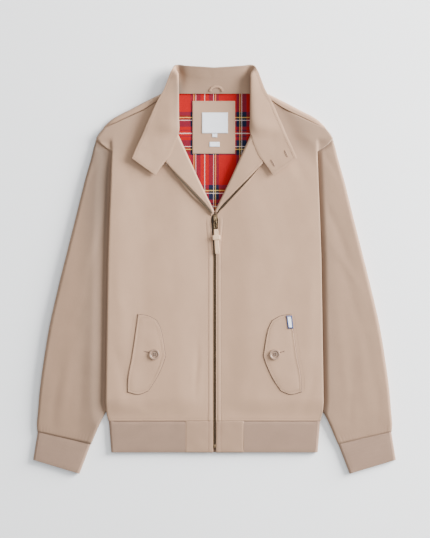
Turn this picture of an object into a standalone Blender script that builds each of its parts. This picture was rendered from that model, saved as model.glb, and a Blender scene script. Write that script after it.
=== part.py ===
"""Harrington jacket laid out flat, front up, collar and lapels turned back, sleeves behind the body.

Metres, +Z up, +Y to the collar, +X to the wearer's left. The jacket rests on Z = 0. Tables and sizes
are in millimetres and are scaled once, when a mesh is made. Half-width means distance from the centre
line; a piece of the wearer's right is the same shape with X turned over.
"""
import math

import bmesh
import bpy
import numpy as np

MM = 0.001

# ---- driving sizes, millimetres ----
GAP = 0.4            # clear space kept between pieces at a seam
CLOTH = 1.5          # doubled twill
BACK_MID = CLOTH / 2
LINING = 1.0
FACING = 1.0
FLAP = 1.8
COLLAR = 2.4
KNIT = 2.4
RIB_PITCH = 4.0      # one raised rib
RIB_RISE = 0.5
SLEEVE_WALL = 1.4
SLEEVE_LOW = 5.5     # sleeve squashed under the body
LIFT = SLEEVE_LOW + 0.35    # the back rides this high over the sleeve
FRONT_CENTRE = 8.8   # mid height of the front beside the zip
FRONT_CROWN = 12.2   # mid height of the front over the chest
FRONT_HEM = 8.0
KNIT_TOP = 8.4       # height of the flattened waistband and cuffs
HEM_TOP_Y = -290.7
HEM_LOW_Y = -351.3
V_POINT_Y = 110.0    # where the zip is opened to
GORGE_Y = 256.8      # where the lapel's roll meets the collar
ROLL_OUT = (0.914, -0.405)   # from the roll line outwards over the chest
ZIP_HALF = 2.7       # half the space between the two front edges

# ---- outlines, half-width and Y ----
SIDE = (("half", "y", "edge_z", "curl"), (
    (204.0, -290.7, 5.2, 4.0), (206.2, -281.0, 7.6, 4.5), (208.0, -272.0, 8.4, 5.0),
    (209.4, -255.0, 8.2, 5.0),
    (208.2, -173.7, 8.2, 5.0), (206.7, -77.2, 8.2, 5.0), (205.2, 19.3, 8.2, 5.0),
    (202.1, 110.0, 8.2, 5.0), (199.4, 173.7, 8.2, 5.0), (197.4, 228.7, 8.7, 4.5),
    (209.4, 235.6, 8.6, 5.0), (220.0, 244.0, 7.8, 6.0), (228.1, 253.4, 4.4, 7.0),
    (222.5, 262.5, 2.8, 7.0), (214.6, 272.1, 2.8, 6.0)))
FRONT_EDGE = (("half", "y"), (
    (2.7, -290.7), (2.7, 92.0), (3.6, 103.0), (7.2, 110.0), (72.8, 256.8), (78.5, 278.0),
    (82.0, 303.0), (84.5, 320.0), (86.0, 336.0)))
SHOULDER_SEAM = (("half", "y"), (
    (0.0, 340.0), (86.0, 336.0), (102.3, 330.0), (134.1, 309.5), (180.5, 287.6), (214.6, 272.1)))
# The shoulder fold outside that seam: how far the back wraps round it, and how tall the fold is.
SHOULDER_FOLD = (("seam_half", "seam_y", "fold_half", "fold_y", "top_z"), (
    (87.0, 337.0, 85.5, 348.0, 11.0), (102.3, 331.2, 99.5, 340.5, 11.2),
    (118.0, 321.0, 119.5, 330.5, 11.4), (134.1, 310.8, 139.0, 320.6, 11.6),
    (157.0, 299.8, 162.5, 308.2, 11.4), (180.5, 288.9, 186.0, 296.4, 10.4),
    (197.0, 281.5, 201.0, 287.4, 9.2)))
NECK_HALF = 80.0
NECK_Y = 338.5

# ---- lapel, from the end of the zip (0) to the gorge (1) ----
LAPEL = (("along", "edge_half", "edge_y", "facing_half", "facing_y", "roll_r"), (
    (0.00, 10.4, 102.0, 5.4, 109.0, 1.5), (0.15, 21.0, 118.0, 15.4, 122.3, 1.8),
    (0.35, 41.5, 141.0, 35.0, 143.6, 2.2), (0.55, 61.0, 164.0, 54.3, 164.4, 2.3),
    (0.80, 80.5, 189.0, 76.4, 187.8, 2.3), (1.00, 94.3, 206.3, 93.7, 206.5, 2.3)))

# ---- sleeve, from the shoulder to the cuff seam ----
SLEEVE = (("outer_half", "outer_y", "inner_half", "inner_y", "crown", "inner_z"), (
    (228.1, 251.9, 168.0, 214.0, 10.4, 5.5), (236.6, 220.0, 140.0, 172.0, 11.4, 5.5),
    (249.6, 173.7, 118.0, 111.9, 12.4, 5.5), (266.9, 104.2, 105.0, 46.3, 13.4, 5.5),
    (284.4, 34.7, 119.0, -11.6, 14.0, 5.5), (301.6, -34.7, 139.9, -75.3, 14.0, 5.5),
    (317.5, -104.2, 160.2, -140.9, 14.0, 5.5), (329.2, -173.7, 180.5, -204.6, 13.6, 5.5),
    (336.9, -231.6, 201.0, -258.6, 13.2, 5.5), (340.6, -274.0, 218.6, -291.4, 12.8, 5.6),
    (342.6, -300.0, 231.0, -320.0, 12.2, 8.5), (341.4, -309.9, 237.6, -334.4, 9.6, 9.2)))
CUFF = (("outer_half", "outer_y", "inner_half", "inner_y"), (
    (340.8, -310.7, 238.2, -335.2), (349.6, -365.6, 260.2, -392.6)))
# The stretch of sleeve that lies under the body, as a convex patch.
UNDER_BODY = ((230.0, 225.0), (197.4, 230.0), (168.0, 214.0), (105.0, 46.3), (203.0, -262.0), (240.0, -262.0))

# ---- collar: seam, turn and free edge from the centre back (first) to the tab's end (last) ----
COLLAR_SECTIONS = (("seam_half", "seam_y", "seam_z", "turn_half", "turn_y", "turn_z",
                    "free_half", "free_y", "free_z", "fold"), (
    (0.0, 340.0, 2.4, 0.0, 364.0, 4.4, 0.0, 387.2, 6.6, 0.0),
    (35.0, 340.0, 2.4, 34.0, 367.0, 5.2, 37.4, 389.6, 8.6, 0.0),
    (58.0, 340.0, 3.0, 57.0, 373.0, 9.4, 62.0, 391.4, 13.0, 0.0),
    (66.2, 340.0, 3.6, 66.4, 380.4, 14.0, 70.8, 392.4, 17.0, 0.1),
    (70.2, 339.4, 4.6, 70.6, 381.6, 18.0, 75.8, 390.8, 19.4, 0.35),
    (73.2, 338.2, 5.8, 71.2, 375.0, 20.4, 81.8, 383.6, 21.2, 0.75),
    (76.6, 335.4, 7.0, 70.4, 360.0, 21.6, 89.0, 367.4, 19.8, 1.0),
    (78.8, 329.0, 8.0, 69.8, 342.0, 21.2, 97.6, 345.5, 17.6, 1.0),
    (78.8, 318.0, 8.6, 69.6, 326.0, 20.6, 107.5, 328.5, 16.8, 1.0),
    (76.6, 302.0, 9.2, 69.4, 307.5, 20.2, 116.5, 310.0, 16.8, 1.0),
    (73.6, 283.0, 9.8, 69.2, 287.0, 19.8, 124.5, 291.5, 17.0, 1.0),
    (70.4, 267.0, 12.0, 69.4, 269.0, 18.6, 131.4, 276.0, 17.4, 0.6),
    (74.4, 260.0, 17.6, 104.0, 262.5, 18.4, 136.2, 265.0, 18.0, 0.0),
    (85.8, 235.2, 18.0, 113.0, 244.8, 18.4, 141.0, 254.2, 18.6, 0.0),
    (96.4, 209.4, 18.2, 121.0, 226.5, 18.8, 145.6, 243.6, 19.4, 0.0),
    (104.6, 194.6, 18.8, 128.4, 211.8, 19.6, 152.2, 229.0, 20.4, 0.0),
    (113.4, 181.8, 19.4, 136.0, 198.0, 20.2, 158.4, 214.4, 21.0, 0.0)))

# ---- pocket flap, half-width and Y ----
FLAP_STRAIGHT = ((147.0, -85.3), (152.3, -122.9), (158.8, -167.1), (166.2, -208.4), (167.0, -234.3))
FLAP_CURVED = ((111.6, -97.1), (105.8, -108.1), (98.2, -140.5), (94.6, -164.2), (99.8, -183.4),
               (113.1, -210.0), (127.8, -232.2))
FLAP_TOP = ((147.0, -85.3), (124.9, -89.7), (111.6, -97.1))
FLAP_LOW = ((167.0, -234.3), (145.5, -238.8), (127.8, -232.2))
FLAP_BUTTON = (115.8, -162.5)
BUTTON_R = 10.2

# ---- zip ----
ZIP_LOW_Y = -335.5
HINGE = (1.6, 94.8, 13.4)    # the pull turns about an axis along X here
STRAP_SLANT = -0.085         # the pull hangs a little to the wearer's left

# ---- colours (linear) and roughness ----
TWILL = ("twill", (0.52, 0.42, 0.33), 0.85, 0.0)
KNITTED = ("rib_knit", (0.42, 0.34, 0.27), 0.9, 0.0)
TARTAN = ("tartan", (0.62, 0.06, 0.05), 0.8, 0.0)
BRASS = ("antique_brass", (0.16, 0.11, 0.06), 0.4, 1.0)
TAPE = ("zip_tape", (0.25, 0.19, 0.13), 0.85, 0.0)
HORN = ("button", (0.45, 0.34, 0.25), 0.45, 0.0)
WOVEN = ("woven_label", (0.8, 0.8, 0.82), 0.8, 0.0)


def columns(table):
    """A table with named columns, as a dictionary of arrays."""
    names, rows = table
    return dict(zip(names, np.array(rows, float).T))


def along(points, count):
    """Evenly spaced points on a smooth curve through the given ones (Catmull-Rom by chord length)."""
    points = np.array(points, float)
    steps = np.r_[0, np.cumsum(np.linalg.norm(np.diff(points[:, :2], axis=0), axis=1))]
    slopes = np.gradient(points, steps, axis=0)
    where = np.linspace(0, steps[-1], count)
    k = np.clip(np.searchsorted(steps, where, side="right") - 1, 0, len(steps) - 2)
    span = (steps[k + 1] - steps[k])[:, None]
    t = ((where - steps[k]) / span[:, 0])[:, None]
    return ((2 * t**3 - 3 * t**2 + 1) * points[k] + (t**3 - 2 * t**2 + t) * span * slopes[k]
            + (3 * t**2 - 2 * t**3) * points[k + 1] + (t**3 - t**2) * span * slopes[k + 1])


def ease(t):
    """Smooth step from 0 to 1."""
    t = np.clip(t, 0, 1)
    return t * t * (3 - 2 * t)


def back_lift(half, y):
    """How far the back is lifted off the floor by the sleeve under it, at a half-width and Y."""
    corners = np.array(UNDER_BODY)
    beyond = np.full(np.shape(half), -1e9)
    for a, b in zip(corners, np.roll(corners, -1, axis=0)):
        edge = (b - a) / np.linalg.norm(b - a)
        beyond = np.maximum(beyond, (half - a[0]) * edge[1] - (y - a[1]) * edge[0])
    return LIFT * (1 - ease((beyond - 12) / 24))


def front_height(half, y):
    """Mid height of the jacket's upper layer away from its folds."""
    crown = FRONT_CENTRE + (FRONT_CROWN - FRONT_CENTRE) * ease((half - 4) / 70)
    crown = crown - 0.8 * ease((y - 250) / 60)
    return crown + (FRONT_HEM - crown) * ease((-245 - y) / 44)


def collection(name):
    made = bpy.data.collections.new(name)
    bpy.context.scene.collection.children.link(made)
    return made


def material(finish):
    name, colour, rough, metal = finish
    found = bpy.data.materials.get(name)
    if found:
        return found
    made = bpy.data.materials.new(name)
    made.use_nodes = True
    shader = made.node_tree.nodes["Principled BSDF"]
    shader.inputs["Base Color"].default_value = (*colour, 1)
    shader.inputs["Roughness"].default_value = rough
    shader.inputs["Metallic"].default_value = metal
    return made


def add_object(name, mesh, finish):
    made = bpy.data.objects.new(name, mesh)
    JACKET.objects.link(made)
    mesh.materials.clear()
    mesh.materials.append(material(finish))
    mesh.shade_smooth()
    mesh.set_sharp_from_angle(angle=math.radians(40))
    return made


def join_grids(name, grids, close_rows=False):
    """One mesh of quads from grids of points (rows x columns x 3), welded where they share an edge."""
    mesh = bpy.data.meshes.new(name)
    points, faces, start = [], [], 0
    for grid in grids:
        rows, cols = grid.shape[:2]
        index = start + np.arange(rows * cols).reshape(rows, cols)
        if close_rows:
            index = np.hstack([index, index[:, :1]])
        faces.append(np.stack([index[:-1, :-1], index[:-1, 1:], index[1:, 1:], index[1:, :-1]],
                              axis=-1).reshape(-1, 4))
        points.append(grid.reshape(-1, 3))
        start += rows * cols
    mesh.from_pydata(np.vstack(points) * MM, [], np.vstack(faces).tolist())
    work = bmesh.new()
    work.from_mesh(mesh)
    bmesh.ops.remove_doubles(work, verts=work.verts, dist=2e-5)
    bmesh.ops.recalc_face_normals(work, faces=work.faces)
    work.to_mesh(mesh)
    work.free()
    return mesh


def turned(grid, side):
    """The grid on the wearer's left (side 1) or turned over to the right (side -1)."""
    return grid * np.array([side, 1, 1])


def point_up(mesh, upwards=True):
    """Turns an open sheet so that most of it faces up (or down)."""
    total = sum(face.normal.z * face.area for face in mesh.polygons)
    if (total < 0) == upwards:
        mesh.flip_normals()


def cloth(name, grids, thickness, finish, tight_fold=False):
    """A wall of cloth: an open sheet given its thickness, evenly unless it has a tight fold."""
    mesh = join_grids(name, grids)
    point_up(mesh)
    made = add_object(name, mesh, finish)
    wall = made.modifiers.new("wall", "SOLIDIFY")
    wall.thickness = thickness * MM
    wall.offset = 0
    wall.use_even_offset = not tight_fold
    wall.use_rim = True
    return made


def wall_between(name, outer, inner, finish, closed):
    """A wall between two unlike sheets of the same grid, with its rims: ribbed outside, plain inside."""
    grids = [outer, inner]
    rims = [np.stack([outer[0], inner[0]]), np.stack([outer[-1], inner[-1]])]
    if closed:
        mesh = join_grids(name, grids + rims, close_rows=True)
    else:
        rims += [np.stack([outer[:, 0], inner[:, 0]]), np.stack([outer[:, -1], inner[:, -1]])]
        mesh = join_grids(name, grids + rims)
    return add_object(name, mesh, finish)


def box(name, centre, size, finish, round_mm=0.0):
    """A box with rounded edges, from its centre and full size."""
    bpy.ops.mesh.primitive_cube_add(size=1, location=[c * MM for c in centre])
    made = bpy.context.object
    made.scale = [s * MM for s in size]
    bpy.ops.object.transform_apply(location=False, rotation=False, scale=True)
    made.name = name
    for old in list(made.users_collection):
        old.objects.unlink(made)
    JACKET.objects.link(made)
    made.data.materials.append(material(finish))
    if round_mm:
        bevel = made.modifiers.new("edges", "BEVEL")
        bevel.width = round_mm * MM
        bevel.segments = 2
    return made


def as_cutter(cutter):
    for old in list(cutter.users_collection):
        old.objects.unlink(cutter)
    CUTTERS.objects.link(cutter)
    cutter.hide_render = True
    cutter.display_type = "WIRE"


def combine(made, other, operation):
    """Cuts the other object out of this one, or adds it on."""
    boolean = made.modifiers.new(operation.lower(), "BOOLEAN")
    boolean.operation = operation
    boolean.solver = "EXACT"
    boolean.object = other
    as_cutter(other)


# ---- cloth panels ----
def side_line(y):
    side = columns(SIDE)
    return np.interp(y, side["y"], side["half"])


def row_end(level, top_line, line):
    """Where a row of a panel (hem at level 0, shoulder at level 1) meets an outline given as half(y)."""
    half = 150.0
    for _ in range(80):
        half += 0.5 * (line(HEM_TOP_Y + level * (top_line(half) - HEM_TOP_Y)) - half)
    return half


def seam_line(half):
    seam = columns(SHOULDER_SEAM)
    return np.interp(half, seam["half"], seam["y"])


def front_edge_line(y):
    edge = columns(FRONT_EDGE)
    return np.interp(y, edge["y"], edge["half"])


def chest_height(half, y):
    """Height of the front with the dip where the shoulder runs back to the armhole."""
    return front_height(half, y) - 3.2 * ease((half - 190) / 16) * ease((y - 215) / 20)


def front_levels():
    """Row levels of a front: hem to the end of the zip, along the lapel's roll, and up to the shoulder."""
    open_zip = (V_POINT_Y - HEM_TOP_Y) / (seam_line(7.2) - HEM_TOP_Y)
    gorge = (GORGE_Y - HEM_TOP_Y) / (seam_line(72.8) - HEM_TOP_Y)
    hem = [0, 0.025, 0.06]
    return np.r_[hem, np.linspace(0.15, open_zip, 6), np.linspace(open_zip, gorge, 8)[1:],
                 np.linspace(gorge, 1, 5)[1:]], 8, 15


def front_body():
    """Grid of a front from its side fold to its edge, and the rows that the lapel turns back from."""
    levels, first, last = front_levels()
    side = columns(SIDE)
    bend = 1 - np.cos(np.linspace(0, np.pi / 2, 5))
    rows = []
    for level in levels:
        outer = row_end(level, seam_line, side_line)
        inner = row_end(level, seam_line, front_edge_line)
        outer_y = HEM_TOP_Y + level * (seam_line(outer) - HEM_TOP_Y)
        curl = np.interp(outer_y, side["y"], side["curl"])
        edge_z = np.interp(outer_y, side["y"], side["edge_z"])
        inset = np.r_[bend * curl, np.linspace(curl, outer - inner, 10)[1:]]
        half = outer - inset
        y = HEM_TOP_Y + level * (seam_line(half) - HEM_TOP_Y)
        rise = np.sqrt(1 - (1 - np.clip(inset / curl, 0, 1)) ** 2)
        rows.append(np.stack([half, y, edge_z + (chest_height(half, y) - edge_z) * rise], axis=-1))
    grid = np.array(rows)
    return grid, grid[first:last + 1, -1]


def lapel_rows(roll):
    """For each point on the roll: how far up the lapel it is, and what the lapel table says there."""
    share = (roll[:, 1] - roll[0, 1]) / (roll[-1, 1] - roll[0, 1])
    lapel = columns(LAPEL)
    return share, {name: np.interp(share, lapel["along"], lapel[name]) for name in lapel}


def lapel_surface(roll, sizes, edge, out, tuck):
    """The turned-back sheet: under the front for a width tuck, half a turn round the roll, over to its edge.

    out is how far the sheet lies outside the front's own mid surface.
    """
    away = np.array(ROLL_OUT)
    radius = sizes["roll_r"] + out
    grid = []
    if tuck:
        under = roll.copy()
        under[:, :2] += away * tuck
        under[:, 2] = roll[:, 2] - out
        grid.append(under)
    for angle in np.linspace(0, np.pi, 7):
        ring = roll.copy()
        ring[:, :2] -= away * (radius * math.sin(angle))[:, None]
        ring[:, 2] = roll[:, 2] + sizes["roll_r"] - radius * math.cos(angle)
        grid.append(ring)
    for share in (0.15, 0.4, 0.7, 1.0):
        flat = roll[:, :2] + (edge - roll[:, :2]) * share
        over = front_height(flat[:, 0], flat[:, 1]) - front_height(roll[:, 0], roll[:, 1])
        grid.append(np.column_stack([flat, grid[-1][:, 2] * 0 + roll[:, 2] + 2 * sizes["roll_r"] + out + over]))
    return np.array(grid)


def build_front(name, side):
    body, roll = front_body()
    _, sizes = lapel_rows(roll)
    edge = np.column_stack([sizes["edge_half"], sizes["edge_y"]])
    lapel = lapel_surface(roll, sizes, edge, 0.0, 0.0)
    cloth(name, [turned(body, side), turned(lapel, side)], CLOTH, TWILL)


def build_facing(name, side):
    _, roll = front_body()
    _, sizes = lapel_rows(roll)
    edge = np.column_stack([sizes["facing_half"], sizes["facing_y"]])
    out = (CLOTH + FACING) / 2 + GAP
    facing = lapel_surface(roll, sizes, edge, out, 13.0)[:, 1:]
    cloth(name, [turned(facing, side)], FACING, TWILL)


def zip_row_strip():
    """The opened half of the zip, lying on the lapel along the facing's edge."""
    _, roll = front_body()
    share, sizes = lapel_rows(roll)
    facing = np.column_stack([sizes["facing_half"], sizes["facing_y"]])
    edge = np.column_stack([sizes["edge_half"], sizes["edge_y"]])
    outwards = (edge - facing) / np.linalg.norm(edge - facing, axis=1)[:, None]
    width = 3.6 * (1 - 0.8 * share)
    height = (front_height(facing[:, 0], facing[:, 1]) + 2 * sizes["roll_r"] + CLOTH / 2 + GAP + 0.6)
    near = np.column_stack([facing + outwards * 0.8, height])
    far = np.column_stack([facing + outwards * (0.8 + width)[:, None], height])
    return np.array([near, far])[:, 1:-1]


def build_back():
    """The back on the floor, lifted over the sleeves, and carried over both shoulder folds."""
    fold = columns(SHOULDER_FOLD)
    seam = np.column_stack([fold["seam_half"], fold["seam_y"]])
    crest = np.column_stack([fold["fold_half"], fold["fold_y"]])
    inwards = (seam - crest) / np.linalg.norm(seam - crest, axis=1)[:, None]
    radius = (fold["top_z"] - BACK_MID) / 2
    base = crest + inwards * radius[:, None]
    top_half = np.r_[0, 28, 55, NECK_HALF, base[:, 0], 207.0, 213.4]
    top_y = np.r_[[NECK_Y] * 4, base[:, 1], 277.0, 271.6]

    def top_line(half):
        return np.interp(half, top_half, top_y)

    under = np.array(UNDER_BODY)
    rows_at = (-290.0, -276.0, -262.0, -205.0, -140.0, -75.0, -10.0, 55.0, 120.0, 180.0, 215.0, 242.0, 264.0,
               284.0)
    levels = [(y - HEM_TOP_Y) / (top_line(150.0) - HEM_TOP_Y) for y in rows_at] + [1.0]
    rows = []
    for level in levels:
        end = row_end(level, top_line, side_line) - 0.6
        y_mid = HEM_TOP_Y + level * (top_line(150.0) - HEM_TOP_Y)
        sleeve = np.interp(y_mid, under[[4, 3, 2], 1], under[[4, 3, 2], 0])
        foot = min(sleeve - 37, end - 60)
        shaped = np.r_[0, foot / 3, foot * 2 / 3, foot, foot + 12, foot + 24, np.linspace(foot + 37, end, 7)]
        blend = ease((y_mid - 170) / 110)
        half = shaped * (1 - blend) + top_half / top_half[-1] * end * blend
        y = HEM_TOP_Y + 0.6 + level * (top_line(half) - HEM_TOP_Y - 0.6)
        rows.append(np.stack([half, y, BACK_MID + back_lift(half, y)], axis=-1))
    floor = np.array(rows)
    floor[-1, 4:11] = np.column_stack([base, np.full(len(base), BACK_MID)])
    grids = []
    for side in (1, -1):
        grids.append(turned(floor, side))
        wrap = []
        for angle in np.linspace(-np.pi / 2, np.pi / 2, 7):
            out = radius * (1 - math.cos(angle))
            wrap.append(np.column_stack([crest + inwards * out[:, None],
                                         BACK_MID + radius * (1 + math.sin(angle))]))
        wrap.append(np.column_stack([seam, fold["top_z"]]))
        grids.append(turned(np.array(wrap), side))
    cloth("back", grids, CLOTH, TWILL)


def build_lining():
    y = np.linspace(92, NECK_Y, 9)
    half = np.interp(y, (92, 258, NECK_Y), (24, 88, 78))
    grid = np.array([np.column_stack([x * half, y, np.full(9, CLOTH + GAP + LINING / 2)])
                     for x in np.linspace(-1, 1, 9)])
    cloth("lining", [grid], LINING, TARTAN)


def sleeve_rings():
    """Rings of the flattened sleeve: round at both edges, high outside the body and low under it."""
    sleeve = columns(SLEEVE)
    count = 12
    across = (1 - np.cos(np.linspace(0, np.pi, count + 1))) / 2
    rings = []
    for k in range(len(sleeve["crown"])):
        outer = np.array([sleeve["outer_half"][k], sleeve["outer_y"][k]])
        inner = np.array([sleeve["inner_half"][k], sleeve["inner_y"][k]])
        width = np.linalg.norm(outer - inner)
        line = outer + (inner - outer) * across[:, None]
        low_at = side_line(line[:, 1]) + 7 if sleeve["inner_z"][k] < 6 else np.full(count + 1, 150.0)
        high = ease((line[:, 0] - low_at) / np.maximum(0.7 * (outer[0] - low_at), 8.0))
        height = sleeve["inner_z"][k] + (sleeve["crown"][k] - sleeve["inner_z"][k]) * high
        if k == 0:
            line[:, 1] -= 6.0 * np.sin(np.pi * np.clip(across / 0.56, 0, 1))
        reach = np.minimum(across, 1 - across) * width / (height / 2)
        round_edge = np.sqrt(1 - (1 - np.clip(reach, 0, 1)) ** 2)
        upper = np.column_stack([line, height / 2 * (1 + round_edge)])
        lower = np.column_stack([line, height / 2 * (1 - round_edge)])
        rings.append(np.vstack([upper, lower[-2:0:-1]]))
    return np.array(rings)


def build_sleeve(name, side):
    mesh = join_grids(name, [turned(sleeve_rings(), side)], close_rows=True)
    made = add_object(name, mesh, TWILL)
    wall = made.modifiers.new("wall", "SOLIDIFY")
    wall.thickness = SLEEVE_WALL * MM
    wall.offset = -1
    wall.use_rim = True


def ribbed(count):
    """0 in each valley and 1 on each rib's crest, for a row of points that starts and ends in a valley."""
    return np.arange(count) % 2


def build_cuff(name, side):
    """Flattened rib-knit tube: ribs raised on its upper face, plain inside, flat where it rests."""
    cuff = columns(CUFF)
    outer_rings, inner_rings = [], []
    for k in range(len(cuff["outer_y"])):
        a = np.array([cuff["outer_half"][k], cuff["outer_y"][k]])
        b = np.array([cuff["inner_half"][k], cuff["inner_y"][k]])
        width = np.linalg.norm(b - a)
        ribs = int(100 / RIB_PITCH)
        for rings, inset in ((outer_rings, 0.0), (inner_rings, KNIT)):
            r = KNIT_TOP / 2 - inset
            turn = np.linspace(-np.pi / 2, np.pi / 2, 7)
            top = np.linspace(KNIT_TOP / 2, width - KNIT_TOP / 2, 2 * ribs - 1)
            rise = 0 if inset else RIB_RISE * ribbed(len(top))
            s = np.r_[KNIT_TOP / 2 - r * np.cos(turn), top[1:-1], width - KNIT_TOP / 2 + r * np.cos(turn[::-1]),
                      np.linspace(width - KNIT_TOP / 2, KNIT_TOP / 2, 8)[1:-1]]
            z = np.r_[KNIT_TOP / 2 + r * np.sin(turn), (KNIT_TOP / 2 + r + rise * np.ones(len(top)))[1:-1],
                      KNIT_TOP / 2 + r * np.sin(turn[::-1]), np.full(6, KNIT_TOP / 2 - r)]
            line = a + (b - a) * (s / width)[:, None]
            rings.append(np.column_stack([line, z]))
    wall_between(name, turned(np.array(outer_rings), side), turned(np.array(inner_rings), side), KNITTED, True)


def build_hem_rib():
    """One rib-knit band from tab to tab round the back, flattened: a C seen from its edge."""
    start, fold, y_top = 56.5, 199.5, HEM_TOP_Y - 1.0
    ribs = int((fold - start) / RIB_PITCH)
    turn = np.linspace(np.pi / 2, -np.pi / 2, 7)
    outer_rows, inner_rows = [], []
    for y in (y_top, HEM_LOW_Y):
        taper = 4.6 * (y_top - y) / (y_top - HEM_LOW_Y)
        for rows, inset in ((outer_rows, 0.0), (inner_rows, KNIT)):
            r = KNIT_TOP / 2 - inset
            top = np.linspace(start, fold, 2 * ribs + 1)
            rise = (0 if inset else RIB_RISE) * ribbed(len(top))
            half = np.r_[top[:-1], fold + r * np.cos(turn), np.linspace(fold, 0, 7)[1:]]
            z = np.r_[(KNIT_TOP / 2 + r + rise * np.ones(len(top)))[:-1], KNIT_TOP / 2 + r * np.sin(turn),
                      np.full(6, KNIT_TOP / 2 - r)]
            half = half - taper * ease((half - 70) / 130)
            left = np.column_stack([half, np.full(len(half), y), z])
            rows.append(np.vstack([left, (left * np.array([-1, 1, 1]))[-2::-1]]))
    wall_between("hem_rib", np.array(outer_rows), np.array(inner_rows), KNITTED, False)


def build_hem_tab(name, side):
    """Plain doubled end of the waistband between the rib and the zip."""
    half = np.linspace(ZIP_HALF, 55.0, 6)
    grid = np.array([np.column_stack([half, np.full(6, y), np.full(6, 7.7)])
                     for y in np.linspace(HEM_TOP_Y - 1.0, HEM_LOW_Y, 4)])
    cloth(name, [turned(grid, side)], KNIT, TWILL)


def coons(low, top, left, right):
    """Patch between four curves that meet at its corners."""
    u = np.linspace(0, 1, len(low))[None, :, None]
    v = np.linspace(0, 1, len(left))[:, None, None]
    flat = ((1 - v) * low[None] + v * top[None] + (1 - u) * left[:, None] + u * right[:, None]
            - (1 - u) * (1 - v) * low[0] - u * (1 - v) * low[-1] - (1 - u) * v * top[0] - u * v * top[-1])
    return flat


def flap_plan():
    return coons(along(FLAP_LOW, 7), along(FLAP_TOP, 7), along(FLAP_STRAIGHT[::-1], 13),
                 along(FLAP_CURVED[::-1], 13))


def build_flap(name, side):
    """Slanted pocket flap, made from the front's own surface moved out."""
    plan = flap_plan()
    height = front_height(plan[..., 0], plan[..., 1]) + CLOTH / 2 + GAP + FLAP / 2
    cloth(name, [turned(np.dstack([plan, height]), side)], FLAP, TWILL)


def unit(vectors):
    return vectors / np.linalg.norm(vectors, axis=-1, keepdims=True)


def bend_reach(run, fold):
    """How strongly a leg of the collar follows its heading at the turn: less where it folds over."""
    length = np.linalg.norm(run, axis=-1, keepdims=True)
    return (1 - fold) * length + fold * (8 + 0.22 * length)


def leg(t, start, end, leave, arrive):
    """Cubic from start to end with the given slopes at its ends."""
    return ((2 * t**3 - 3 * t**2 + 1) * start + (t**3 - 2 * t**2 + t) * leave
            + (3 * t**2 - 2 * t**3) * end + (t**3 - t**2) * arrive)


def build_collar():
    """One strip: flat behind the neck, then turned over along the neck and laid out to its tabs."""
    section = columns(COLLAR_SECTIONS)
    keys = np.column_stack([section[name] for name in COLLAR_SECTIONS[0]])
    seam, turn, free, fold = keys[:, :3], keys[:, 3:6], keys[:, 6:9], keys[:, 9:]
    upright = np.array([0.0, 0.0, 1.0])
    heading = (1 - fold) * unit(free - seam) + fold * upright
    heading = unit(heading)
    t = np.linspace(0, 1, 6)[:, None, None]
    stand = leg(t, seam, turn, turn - seam, heading * bend_reach(turn - seam, fold))
    leaf = leg(t, turn, free, heading * bend_reach(free - turn, fold), free - turn)
    half = np.vstack([stand, leaf[1:]])
    whole = np.concatenate([(half * np.array([-1, 1, 1]))[:, :0:-1], half], axis=1)
    cloth("collar", [whole], COLLAR, TWILL, tight_fold=True)


def flat_piece(name, x_span, y_span, z, thickness, finish):
    """A small flat piece of cloth between two X and two Y values."""
    x = np.linspace(*x_span, 4)
    y = np.linspace(*y_span, 4)
    grid = np.array([np.column_stack([x, np.full(4, row), np.full(4, z)]) for row in y])
    cloth(name, [grid], thickness, finish)


def build_labels():
    lining_top = CLOTH + GAP + LINING
    patch_mid = lining_top + GAP + 0.5
    label_mid = patch_mid + 0.5 + GAP + 0.3
    flat_piece("label_patch", (-42.6, 39.8), (224.1, 325.8), patch_mid, 1.0, TWILL)
    flat_piece("neck_label", (-24.3, 25.7), (263.6, 303.6), label_mid, 0.6, WOVEN)
    flat_piece("size_tab", (-4.8, 5.2), (255.8, 263.1), label_mid, 0.6, WOVEN)
    flat_piece("small_tab", (-10.0, 9.7), (237.4, 247.0), label_mid, 0.6, WOVEN)
    x, y = np.meshgrid(np.linspace(139.4, 150.4, 4), np.linspace(-112.6, -87.4, 5))
    x = x + (y + 100) * -0.12
    height = front_height(x, y) + CLOTH / 2 + GAP + FLAP + GAP + 0.3
    cloth("pocket_label", [np.dstack([x, y, height])], 0.6, WOVEN)


def build_hanger_loop():
    """Narrow strip bent in an arch on the collar's inner face, its feet at the neck seam."""
    arch = np.linspace(0.05 * np.pi, 0.95 * np.pi, 13)
    grid = []
    for inset in (0.0, 2.2, 4.4):
        x = 3.9 - (14.4 - inset) * np.cos(arch)
        y = 341.0 + (14.5 - inset) * np.sin(arch) ** 0.8
        grid.append(np.column_stack([x, y, 2.4 + (y - 340) * 0.083 + COLLAR / 2 + GAP + 0.75]))
    cloth("hanger_loop", [np.array(grid)], 1.2, TWILL)


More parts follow.
